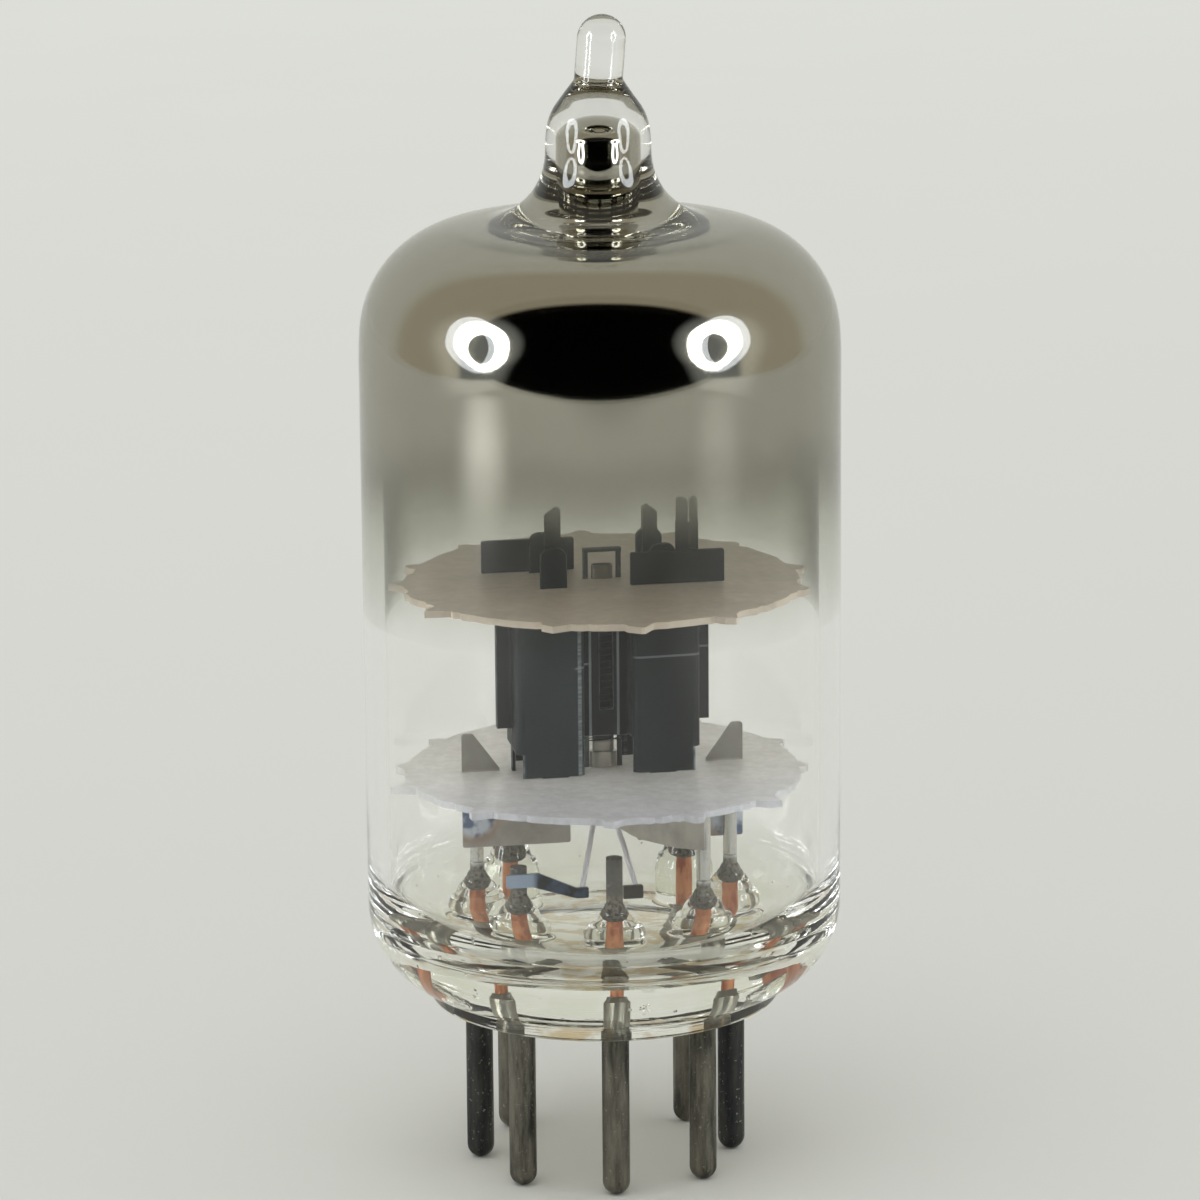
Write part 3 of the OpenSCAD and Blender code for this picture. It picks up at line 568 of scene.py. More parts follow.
def stub_line(g):
    """The stub's side from the flare up over its shoulder to the foot of the tip."""
    start_z = flare(g)[0][1]
    barrel = arc((g.stub_r - g.barrel_r, start_z), g.barrel_r, 0, g.barrel_angle, 8)[1:]
    x, z = barrel[-1]
    reach = g.shoulder_r
    centre = (x - reach * math.cos(g.barrel_angle), z - reach * math.sin(g.barrel_angle))
    shoulder = arc(centre, reach, g.barrel_angle, g.shoulder_angle, 14)[1:]
    lean = math.radians(3)
    neck_x = g.tip_r + g.neck_r * math.cos(lean)
    cone_x = neck_x - g.neck_r * math.cos(g.shoulder_angle)
    x, z = shoulder[-1]
    cone_z = z + (x - cone_x) / math.tan(g.shoulder_angle)
    cone = [(x + (cone_x - x) * k / 4, z + (cone_z - z) * k / 4) for k in range(1, 5)]
    centre = (neck_x, cone_z + g.neck_r * math.sin(g.shoulder_angle))
    neck = arc(centre, g.neck_r, math.pi + g.shoulder_angle, math.pi + lean, 8)[1:]
    return barrel + shoulder + cone + neck


def outer_line(g):
    """The glass from the middle of its underside to the top of the tip."""
    rim = 0.15 * MM
    foot = (BULB_R - g.foot_r, SEAT_Z + g.foot_rise)
    seam_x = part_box("button_stem")[1].x
    foot_start = -math.acos((seam_x + 0.05 * MM - foot[0]) / g.foot_r)
    centre, turn = flare(g)
    return (
        [(0, SEAT_Z), (seam_x - 2 * rim, SEAT_Z)]
        + arc((seam_x - rim, SEAT_Z + rim), rim, -math.pi / 2, 0, 4)
        + arc(foot, g.foot_r, foot_start, 0, 28)
        + [(BULB_R, z) for z in (*WALL_RINGS, wall_top(g))]
        + dome_line(g, 0, centre[0] + g.flare_r * math.cos(turn))
        + arc(centre, g.flare_r, math.tau - turn, math.pi, 18)[1:]
        + stub_line(g)
        + arc((0, TIP_Z - g.tip_r), g.tip_r, 0, math.pi / 2, 16)[:-1]
        + [(0, TIP_Z)]
    )


def bore_line(g, depth):
    """The dome and the bore at a depth in the glass, up to the bore's closed end."""
    extra = depth - WALL
    bore = g.bore_r - extra
    x = bore + g.mouth_r
    crown = dome_centres(g)[2]
    z = crown[1] + math.sqrt((g.crown_r - depth) ** 2 - (x - crown[0]) ** 2)
    start = dome_line(g, depth, x) + arc((x, z + g.mouth_r), g.mouth_r, 1.5 * math.pi, math.pi, 6)[1:]
    end = SEAT_Z + g.crown_rise + g.bore_rise - extra
    round_off = 0.6 * MM
    turns = [math.pi / 2 * k / 12 for k in range(12)]
    corner = [(bore * math.cos(a), end - round_off * (1 - math.sin(a))) for a in turns]
    return start + corner + [(0, end)]


def inner_line(g):
    """The cavity from the rim of the button's flat top to the end of the bore."""
    top_z = SEAT_Z + g.button_t
    rim = 0.1 * MM
    centre = (CAVITY_R - g.hollow_r, top_z + g.hollow_r)
    start = -math.acos((g.button_r + rim - centre[0]) / g.hollow_r)
    return (
        [(g.button_r, top_z)]
        + arc(centre, g.hollow_r, start, 0, 20)
        + [(CAVITY_R, z) for z in (*WALL_RINGS, wall_top(g))]
        + bore_line(g, WALL)
    )


def bead_line(g, rise):
    """A bead, from its flared foot on the button over its round body to its closed top."""
    top_z = SEAT_Z + g.button_t
    body_z = top_z + 0.42 * rise
    foot_z = top_z + BEAD_FILLET
    foot_x = g.bead_r - BEAD_WAIST + BEAD_FILLET
    foot = arc((foot_x, foot_z), BEAD_FILLET, 1.5 * math.pi, math.pi, 5)
    lower = [
        (g.bead_r - BEAD_WAIST * math.cos(math.pi / 2 * s) ** 2, foot_z + (body_z - foot_z) * s)
        for s in (0.25, 0.5, 0.75, 1)
    ]
    upper = []
    for k in range(1, 19):
        s = k / 18
        swell = math.cos(math.pi / 2 * s) ** 0.8 if k < 18 else 0
        drawn = 0.12 * MM * math.sin(math.pi * s) ** 2
        x = g.bead_neck_r + (g.bead_r - g.bead_neck_r) * swell - drawn * (s > 0.5)
        upper.append((x, body_z + (top_z + rise - body_z) * s))
    lip = 0.15 * MM
    cap = arc((g.bead_neck_r - lip, top_z + rise), lip, 0, math.pi / 2, 4)[1:]
    return foot + lower + upper + cap + [(0, top_z + rise + lip)]


def glass_material(g):
    f = Finish("clear glass")
    turn = f.times(f.maths("ARCTAN2", f.y, f.x), 1.1 * MM)
    rings = f.out("ShaderNodeCombineXYZ", {0: f.radius(), 1: turn, 2: f.z})
    foot = f.fall(f.z, SEAT_Z + 2.0 * MM, SEAT_Z + 5.6 * MM)
    ripples = f.noise_at(rings, 0.75 * MM)
    ripples = f.times(ripples, f.plus(f.times(foot, 0.97), 0.03))
    patch = f.ramp(f.noise(1.9 * MM, shift=(0.3, 0.1, 0)), 0.42, 0.62)
    cast = f.ramp(patch, 0, 1, 0.5, 1.0)
    low = f.fall(f.z, SEAT_Z + 0.25 * MM, SEAT_Z + 1.1 * MM)
    spot = f.ramp(f.noise(1.3 * MM, shift=(0.1, 0.2, 0)), 0.45, 0.58)
    colour = f.painted(g.colour, (foot, cast, g.thick), (f.times(low, spot), 0.9, g.stain))
    normal = f.bump(ripples, 1.0, g.ripple)
    glass = f.surface(colour, 0.0, normal=normal, IOR=g.ior, Transmission_Weight=1.0)
    return f.see_through(glass, (0.96, 0.96, 0.95))


class TUBE_OT_glass_envelope(bpy.types.Operator):
    """Turn the bulb and its button as one piece of glass with a bead round each wire"""
    bl_idname = "tube.glass_envelope"
    bl_label = "Glass envelope"

    def execute(self, context):
        g = context.scene.tube_glass
        shell = lathe("glass_envelope", outer_line(g), g.steps)
        cavity = lathe("cavity", inner_line(g), g.steps)
        floor = self.button_top(g)
        join(cavity, floor, *self.beads(g), *self.bubbles(g))
        edit_mode(cavity)
        weld(inward=True)
        join(shell, cavity)
        self.lean_tip(g, shell)
        smooth(shell, 50)
        settle(shell, glass_material(g), "glass", "bulb", "button_stem")
        return {"FINISHED"}

    def lean_tip(self, g, shell):
        """Pushes the top of the tip to one side, and what is below it less and less."""
        foot_z = stub_line(g)[-1][1]
        edit_mode(shell)
        bpy.ops.mesh.select_all(action="DESELECT")
        object_mode()
        for vertex in shell.data.vertices:
            vertex.select = vertex.co.z > TIP_Z - g.tip_r / 2
        bpy.ops.object.mode_set(mode="EDIT")
        bpy.ops.transform.translate(
            value=(g.tip_lean, 0, 0), use_proportional_edit=True, proportional_edit_falloff="SMOOTH",
            proportional_size=TIP_Z - foot_z + 0.4 * MM)
        object_mode()

    def bubbles(self, g):
        """Small round bubbles in the thick glass of the foot, clear of the wires."""
        model = primitive("ico_sphere", "bubble", subdivisions=2, radius=g.bubble_r)
        chance = random.Random(11)
        top_z = SEAT_Z + g.button_t
        clear = 2.2 * g.bubble_r
        inmost = 5.2 * MM
        wire_room = 1.1 * MM
        bubbles = []
        while len(bubbles) < g.bubbles:
            turn = chance.uniform(0, math.tau)
            z = SEAT_Z + g.foot_rise * chance.uniform(0.16, 1.0)
            foot = g.foot_r - clear
            drop = z - SEAT_Z - g.foot_rise
            outer = BULB_R - g.foot_r + math.sqrt(max(0, foot ** 2 - drop ** 2))
            hollow = g.hollow_r + clear
            drop = top_z + g.hollow_r - z
            inner = CAVITY_R - g.hollow_r + math.sqrt(max(0, hollow ** 2 - drop ** 2))
            inner = inner if z > top_z - clear else inmost
            if inner >= outer:
                continue
            reach = chance.uniform(inner, outer)
            place = Vector((reach * math.cos(turn), reach * math.sin(turn), z))
            if any((place - middle(pin)).to_2d().length < wire_room for pin in PINS):
                continue
            bubble = copy_of(model, "bubble")
            size = chance.uniform(0.3, 1.0) ** 1.5
            bubble.data.transform(Matrix.Translation(place) @ Matrix.Scale(size, 4))
            bubbles.append(bubble)
        bpy.data.objects.remove(model)
        return bubbles

    def button_top(self, g):
        """The button's flat top, with a round hole where each bead stands."""
        top_z = SEAT_Z + g.button_t
        floor = primitive(
            "circle", "button_top", vertices=g.steps, radius=g.button_r, location=(0, 0, top_z))
        edit_mode(floor)
        hole_r = g.bead_r - BEAD_WAIST + BEAD_FILLET
        for pin in PINS:
            place = middle(pin)
            bpy.ops.mesh.primitive_circle_add(
                vertices=64, radius=hole_r, location=(place.x, place.y, top_z))
        pick(floor)
        bpy.ops.object.transform_apply(location=True)
        edit_mode(floor)
        bpy.ops.mesh.fill(use_beauty=True)
        object_mode()
        return floor

    def beads(self, g):
        """One bead and one tall bead, turned once and copied to their pins."""
        rises = {False: g.bead_rise, True: g.bead_rise + g.tall_rise}
        models = {tall: lathe("bead", bead_line(g, rise), 64) for tall, rise in rises.items()}
        beads = []
        for pin in PINS:
            bead = copy_of(models[pin in TALL_BEADS], "bead_" + pin)
            place = middle(pin)
            bead.data.transform(Matrix.Translation((place.x, place.y, 0)))
            beads.append(bead)
        for model in models.values():
            bpy.data.objects.remove(model)
        return beads


class TUBE_OT_getter_mirror(bpy.types.Operator):
    """Lay the mirror film inside the dome and the stub, fading to clear down the wall"""
    bl_idname = "tube.getter_mirror"
    bl_label = "Getter mirror"

    def execute(self, context):
        g = context.scene.tube_glass
        s = context.scene.tube_film
        depth = WALL - s.bite
        rise = wall_top(g) - s.clear_z
        low = [(BULB_R - depth, s.clear_z + rise * k / 8) for k in range(9)]
        film = lathe("getter_mirror", low + bore_line(g, depth), g.steps)
        apply(film, "SOLIDIFY", thickness=s.thickness, offset=-1)
        smooth(film, 60)
        settle(film, self.film_material(s), "getter_mirror", "getter_film")
        return {"FINISHED"}

    def film_material(self, s):
        f = Finish("mirror film")
        streak = f.noise(2.4 * MM, stretch=(1, 1, 0.35))
        height = f.plus(f.z, f.times(f.minus(streak, 0.5), 1.2 * MM))
        side = f.ramp(f.absolute(f.x), 6.6 * MM, 8.8 * MM, 0, 1.6 * MM)
        height = f.plus(height, side)
        mirror = f.ramp(height, s.brown_z - 0.4 * MM, s.mirror_z)
        brown = f.ramp(height, s.clear_z, s.brown_z, kind="LINEAR")
        facing = f.add("ShaderNodeLayerWeight", {"Blend": 0.5}).outputs["Facing"]
        long_way = f.times(f.ramp(facing, 0.45, 0.95), f.ramp(brown, 0.15, 0.6))
        passing = f.painted((1, 1, 1), (brown, 1.0, s.filter), (long_way, 0.85, s.grazing))
        low = f.fall(height, s.mirror_z - 3 * MM, s.mirror_z + 3 * MM)
        cloud = f.noise(1.1 * MM, stretch=(1, 1, 0.5))
        colour = f.painted(
            s.colour, (low, 1.0, linear(158, 155, 143)), (cloud, 0.2, linear(140, 136, 124)))
        metal = f.surface(colour, s.roughness, 1.0)
        return f.see_through(f.layered(mirror, f.clear(passing), metal), (0.8, 0.8, 0.78))


class TUBE_OT_micas(bpy.types.Operator):
    """Tear the edges of the two mica spacers and give them their milky look"""
    bl_idname = "tube.micas"
    bl_label = "Micas"

    def execute(self, context):
        s = context.scene.tube_mica
        lower = self.mica_material("lower mica", s.lower, s.front, s.lower_body)
        self.torn("mica_lower", "lower_mica", s.bite, 3.0, lower)
        upper = self.mica_material("upper mica", s.upper, s.upper, s.upper_body)
        self.torn("mica_upper", "upper_mica", s.bite, 8.0, upper)
        return {"FINISHED"}

    def torn(self, name, node, bite, seed, material):
        """Cuts a copy of the mica with a prism whose outline is ragged."""
        mica = cad_copy(node, name)
        low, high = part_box(node)
        cutter = primitive("circle", "cutter", vertices=220, radius=CAVITY_R, fill_type="NGON")
        for vertex in cutter.data.vertices:
            turn = math.atan2(vertex.co.y, vertex.co.x)
            spot = Vector((math.cos(turn), math.sin(turn), seed))
            coarse = noise.noise(spot * 7)
            fine = noise.noise(spot * 26 + Vector((5, 1, 2)))
            cut = bite * (0.35 + 1.1 * max(0, coarse) + 0.7 * fine)
            base = MICA_EDGE - 0.05 * MM if self.between_teeth(mica, vertex.co) else CAVITY_R
            reach = min(base, CAVITY_R) - max(0, cut)
            vertex.co = Vector((reach * math.cos(turn), reach * math.sin(turn), low.z - CUT_MARGIN))
        edit_mode(cutter)
        height = high.z - low.z + 2 * CUT_MARGIN
        bpy.ops.mesh.extrude_region_move(TRANSFORM_OT_translate={"value": (0, 0, height)})
        outward()
        object_mode()
        apply(mica, "BOOLEAN", operation="INTERSECT", object=cutter, solver="EXACT")
        bpy.data.objects.remove(cutter)
        smooth(mica, 25)
        settle(mica, material, "mica", node)

    def between_teeth(self, mica, spot):
        """Whether the mica's own edge is well inside the glass at this angle."""
        turn = math.atan2(spot.y, spot.x)
        reach = 0
        for vertex in mica.data.vertices:
            gap = abs((math.atan2(vertex.co.y, vertex.co.x) - turn + math.pi) % math.tau - math.pi)
            if gap < math.radians(3):
                reach = max(reach, math.hypot(vertex.co.x, vertex.co.y))
        return reach < MICA_EDGE

    def mica_material(self, name, colour, painted_reflection, body):
        f = Finish(name)
        flakes = f.noise(2.2 * MM, detail=4, stretch=(1, 1.6, 1))
        specks = f.noise(0.35 * MM, detail=4, shift=(0.2, 0, 0))
        # Painted reflection: the half towards the front takes the lilac tint.
        front = f.fall(f.y, -6.5 * MM, 1 * MM)
        shade = f.painted(
            colour, (front, 1.0, painted_reflection), (f.ramp(flakes, 0.4, 0.7), 0.12, linear(120, 108, 96)))
        rim = f.ramp(f.radius(), 7.1 * MM, 7.8 * MM)
        cover = f.plus(f.times(f.ramp(specks, 0.3, 0.75), 0.1), body - 0.05)
        cover = f.plus(cover, f.times(rim, 0.1))
        sheet = f.surface(shade, 0.35, normal=f.bump(specks, 0.12, 0.03 * MM))
        return f.see_through(f.layered(cover, f.clear(), sheet), (0.72, 0.71, 0.69))


class TUBE_OT_pins_and_leads(bpy.types.Operator):
    """Tarnish the pins, colour the seal wires and brighten the inner leads"""
    bl_idname = "tube.pins_and_leads"
    bl_label = "Pins and leads"

    def execute(self, context):
        s = context.scene.tube_metal
        dress(self.pin_material(s), *PINS)
        dress(self.wire_material(s), *SEAL_WIRES)
        bright = [lead for lead in LEADS if lead not in ROUGH_LEADS]
        dress(self.lead_material("bright lead", s, s.lead, 0.14, 1.25 * MM), *bright)
        dress(self.lead_material("rough post", s, s.post, 0.5, 9 * MM), *ROUGH_LEADS)
        return {"FINISHED"}

    def pin_material(self, s):
        f = Finish("tarnished pin")
        patches = f.noise(0.55 * MM, detail=6, rough=0.65, stretch=(1, 1, 0.16))
        pits = f.noise(0.12 * MM, detail=3, shift=(0.5, 0.2, 0))
        dull = f.ramp(patches, 0.3, 0.72)
        colour = f.mix(dull, s.pin, s.tarnish)
        buried = f.ramp(f.z, SEAT_Z - 0.1 * MM, SEAT_Z + 0.3 * MM)
        # Painted shade: the pins at the left and right sides are darkened to blue-grey outside the
        # glass.
        side = f.times(f.ramp(f.absolute(f.x), 3.6 * MM, 4.4 * MM), f.minus(1.0, buried))
        colour = f.painted(
            colour, (buried, 0.8, linear(162, 158, 146)), (side, 0.75, linear(34, 38, 44)),
            (f.ramp(pits, 0.62, 0.74), 1.0, linear(150, 146, 134)))
        rough = f.ramp(patches, 0.35, 0.65, 0.28, 0.55)
        normal = f.bump(f.plus(pits, patches), 0.5, 0.03 * MM)
        return f.coat(colour, rough, 0.85, normal)

    def wire_material(self, s):
        f = Finish("seal wire")
        streak = f.noise(0.25 * MM, stretch=(1, 1, 0.3))
        colour = f.mix(f.ramp(streak, 0.4, 0.7), s.copper, linear(176, 98, 68))
        return f.coat(colour, 0.45, 0.35, f.bump(streak, 0.3, 0.02 * MM))

    def lead_material(self, name, s, metal, roughness, crust_rise):
        """A weld knot with its crust, and the lead over it."""
        f = Finish(name)
        crumbs = f.noise(0.12 * MM, detail=4)
        top = f.ramp(f.z, KNOT_Z + 0.9 * MM, KNOT_Z + 1.25 * MM)
        crust = f.mix(f.ramp(crumbs, 0.4, 0.7), s.knot, linear(70, 66, 58))
        clean = f.mix(f.ramp(crumbs, 0.5, 0.75, 0, 0.3), metal, s.knot)
        colour = f.mix(top, crust, clean)
        metallic = f.ramp(top, 0, 1, 0.2, 0.75)
        rough = f.ramp(top, 0, 1, 0.7, roughness)
        bare = f.fall(f.z, KNOT_Z + crust_rise - 0.35 * MM, KNOT_Z + crust_rise)
        normal = f.bump(f.times(crumbs, bare), 0.8, 0.08 * MM)
        return f.coat(colour, rough, metallic, normal)


class TUBE_OT_anode(bpy.types.Operator):
    """Give the anode its carbonised grey with painted shade in its trough, painted highlights on its
    edges and fine scratches
    """
    bl_idname = "tube.anode"
    bl_label = "Anode"

    def execute(self, context):
        s = context.scene.tube_metal
        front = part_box("anode_front")[0].y
        f = Finish("carbonised sheet")
        grain = f.noise(0.07 * MM, detail=3)
        cloud = f.noise(1.8 * MM, detail=4)
        colour = f.mix(f.ramp(cloud, 0.35, 0.7), s.anode, s.anode * 0.82)
        # Painted shade: the sheet is darkened where its trough sinks in towards the middle.
        deep = f.ramp(f.absolute(f.y), -front - 0.7 * MM, -front - 0.25 * MM, 0.85, 0.0)
        across = f.absolute(f.x)
        wall_x = 0.87 * MM
        rail_x = 0.52 * MM
        # Painted shade: the gaps on the trough's floor beside the rails are painted near black.
        floor = f.times(f.ramp(deep, 0.62, 0.77), f.fall(across, wall_x, wall_x + 0.05 * MM))
        gap = f.times(floor, f.ramp(across, rail_x + 0.04 * MM, rail_x + 0.1 * MM))
        rail = f.times(floor, f.band(across, rail_x, 0.06 * MM))
        height = f.plus(f.z, f.times(f.x, -0.012))
        right = f.ramp(f.x, 0.95 * MM, 1.2 * MM)
        long = f.times(f.band(height, CAGE_Z + 4.4 * MM, 0.05 * MM), right)
        left = f.band(f.x, -0.85 * MM, 0.35 * MM)
        short = f.times(f.band(height, CAGE_Z + 4.13 * MM, 0.05 * MM), left)
        fine = f.noise(0.4 * MM, detail=6, rough=0.75, stretch=(0.2, 0.2, 5))
        marks = f.most(f.most(long, short), f.ramp(fine, 0.7, 0.76))
        # Painted highlight: the sharp fold edges are lightened, patchily.
        edge = f.times(f.glinting(0.06 * MM), f.ramp(f.noise(0.5 * MM, detail=4), 0.35, 0.6, 0.35, 1))
        rim = f.times(f.band(across, wall_x + 0.08 * MM, 0.09 * MM), f.ramp(fine, 0.4, 0.6, 0.2, 0.6))
        # Coats: painted shade in the trough and its gaps, painted highlights on the rails, rim and sharp
        # edges, and real scratches.
        colour = f.painted(
            colour, (deep, 1.0, linear(20, 23, 23)), (gap, 0.9, linear(6, 7, 7)), (rail, 0.55, s.edge),
            (rim, f.minus(1.0, deep), s.edge), (marks, 0.35, s.edge), (edge, 0.85, s.edge))
        rough = f.ramp(edge, 0, 1, 0.5, 0.3)
        normal = f.bump(grain, 0.25, 0.02 * MM)
        dress(f.coat(colour, rough, normal=normal, Specular_IOR_Level=0.15), "anode_front", "anode_back")
        return {"FINISHED"}


class TUBE_OT_grid_and_cathode(bpy.types.Operator):
    """Finish the grid, the bridge over it and the coated cathode sleeve"""
    bl_idname = "tube.grid_and_cathode"
    bl_label = "Grid and cathode"

    def execute(self, context):
        s = context.scene.tube_metal
        f = Finish("grid metal")
        fine = f.noise(0.2 * MM)
        metal = f.coat(f.mix(fine, s.grid, s.grid * 0.6), 0.4, 0.8)
        dress(metal, "grid_rod_left", "grid_rod_right", "grid_winding", "grid_bridge")
        f = Finish("cathode nickel")
        below = f.fall(f.z, UPPER_Z - 0.7 * MM, UPPER_Z - 0.5 * MM)
        # Painted shade: the coated stretch of the sleeve, white in itself, is painted dark grey for the
        # shade inside the anode.
        dark_painted_coating = f.times(f.ramp(f.z, CAGE_Z + 0.9 * MM, CAGE_Z + 1.1 * MM), below)
        grain = f.noise(0.08 * MM)
        nickel = f.mix(grain, s.nickel, linear(170, 164, 150))
        colour = f.mix(dark_painted_coating, nickel, f.mix(grain, linear(66, 67, 65), linear(48, 49, 48)))
        rough = f.ramp(dark_painted_coating, 0, 1, 0.3, 0.9)
        sleeve = f.coat(colour, rough, f.minus(1.0, dark_painted_coating), f.bump(grain, 0.4, 0.02 * MM))
        dress(sleeve, "cathode_sleeve", "cathode_collar")
        return {"FINISHED"}


class TUBE_OT_straps(bpy.types.Operator):
    """Tint the nickel straps and tabs blue and brown where they were welded"""
    bl_idname = "tube.straps"
    bl_label = "Straps"

    def execute(self, context):
        s = context.scene.tube_metal
        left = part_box("grid_strap_left")
        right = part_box("grid_strap_right")
        left_mid = middle("grid_strap_left")
        f = Finish("strap nickel")
        cloud = f.noise(1.2 * MM, detail=4)
        grain = f.noise(0.09 * MM)
        colour = f.mix(f.ramp(cloud, 0.35, 0.7), s.nickel, linear(164, 156, 148))
        place = (left[0].x + 0.4 * MM, left_mid.y, left[0].z + 1.2 * MM)
        burn_left = f.near(place, 1.5 * MM)
        place = (right[1].x - 0.4 * MM, middle("grid_strap_right").y, right[0].z + 0.8 * MM)
        burn_right = f.near(place, 1.6 * MM)
        patch = f.ramp(f.noise(0.7 * MM, detail=3, shift=(0.1, 0.4, 0)), 0.4, 0.6)
        tinted = f.mix(patch, s.heat, linear(206, 214, 226))
        for burn in (burn_left, burn_right):
            colour = f.painted(
                colour, (f.ramp(burn, 0.05, 0.3), 0.5, s.rust), (f.ramp(burn, 0.25, 0.6), 0.9, tinted))
        # Painted shade: the ears that stand above the lower mica are darkened.
        shaded_ears = f.ramp(f.z, CAGE_Z, CAGE_Z + 0.1 * MM)
        away = f.away((left[1].x - 0.45 * MM, left[0].y, left_mid.z - 0.2 * MM))
        # Painted shade: a dark ring round the dimple in the left strap.
        dimple_shade_ring = f.band(away, 0.42 * MM, 0.12 * MM)
        # Coats: a painted highlight on the sharp edges, then painted shade on the ears and round the
        # dimple.
        colour = f.painted(
            colour, (f.glinting(0.05 * MM), 0.5, linear(206, 204, 196)),
            (shaded_ears, 0.5, linear(104, 101, 90)), (dimple_shade_ring, 0.75, linear(64, 58, 50)))
        rough = f.ramp(cloud, 0.3, 0.7, 0.3, 0.5)
        dome = f.fall(away, 0, 0.5 * MM)
        normal = f.bump(f.plus(grain, f.times(dome, 4.0)), 0.3, 0.03 * MM)
        dress(f.coat(colour, rough, 0.4, normal), *STRAPS)
        f = Finish("blued tab")
        cloud = f.noise(0.6 * MM, detail=4, shift=(0.3, 0.3, 0))
        colour = f.mix(f.ramp(cloud, 0.45, 0.62), s.blue, linear(44, 46, 50))
        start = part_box("heater_tab_3")[0].x + 0.9 * MM
        # The last coat is a painted highlight on the tab's sharp edges.
        colour = f.painted(
            colour, (f.fall(f.x, start, start + 0.3 * MM), 0.75, linear(176, 194, 220)),
            (f.ramp(f.x, -0.6 * MM, 0.2 * MM), 1.0, linear(70, 66, 60)),
            (f.glinting(0.04 * MM), 0.4, linear(190, 200, 214)))
        dress(f.coat(colour, 0.3, 0.6), "heater_tab_3", "heater_tab_4")
        return {"FINISHED"}


class TUBE_OT_heater(bpy.types.Operator):
    """Round the coated heater wire and whiten it"""
    bl_idname = "tube.heater"
    bl_label = "Heater"

    def execute(self, context):
        s = context.scene.tube_metal
        wire = cad_copy("heater", "heater_wire")
        edit_mode(wire)
        limit = math.radians(60)
        bpy.ops.mesh.tris_convert_to_quads(face_threshold=limit, shape_threshold=limit)
        object_mode()
        apply(wire, "SUBSURF", levels=1, render_levels=1)
        smooth(wire, 60)
        f = Finish("heater coating")
        grain = f.noise(0.06 * MM)
        colour = f.mix(grain, s.coating, linear(222, 220, 226))
        coating = f.coat(colour, 0.7, normal=f.bump(grain, 0.4, 0.02 * MM))
        settle(wire, coating, "heater_coating", "heater")
        return {"FINISHED"}


class TUBE_OT_getters(bpy.types.Operator):
    """Darken the getter plates and posts over the upper mica"""
    bl_idname = "tube.getters"
    bl_label = "Getters"

    def execute(self, context):
        s = context.scene.tube_metal
        f = Finish("getter metal")
        cloud = f.noise(0.9 * MM, detail=4)
        high = f.ramp(f.z, DECK_Z + 0.6 * MM, DECK_Z + 2.4 * MM)
        colour = f.mix(high, linear(14, 15, 15), s.getter)
        # The last coat is a painted highlight on the sharp edges.
        colour = f.painted(
            colour, (f.ramp(cloud, 0.5, 0.8), 0.4, linear(98, 84, 64)),
            (f.glinting(0.05 * MM), 0.35, linear(140, 134, 118)))
        dress(f.coat(colour, 0.4, 0.6), *GETTERS)
        return {"FINISHED"}


def for_mirrors(obj):
    """Hides a piece of the stage from all but mirrors and glass."""
    obj.visible_camera = obj.visible_diffuse = obj.visible_shadow = False


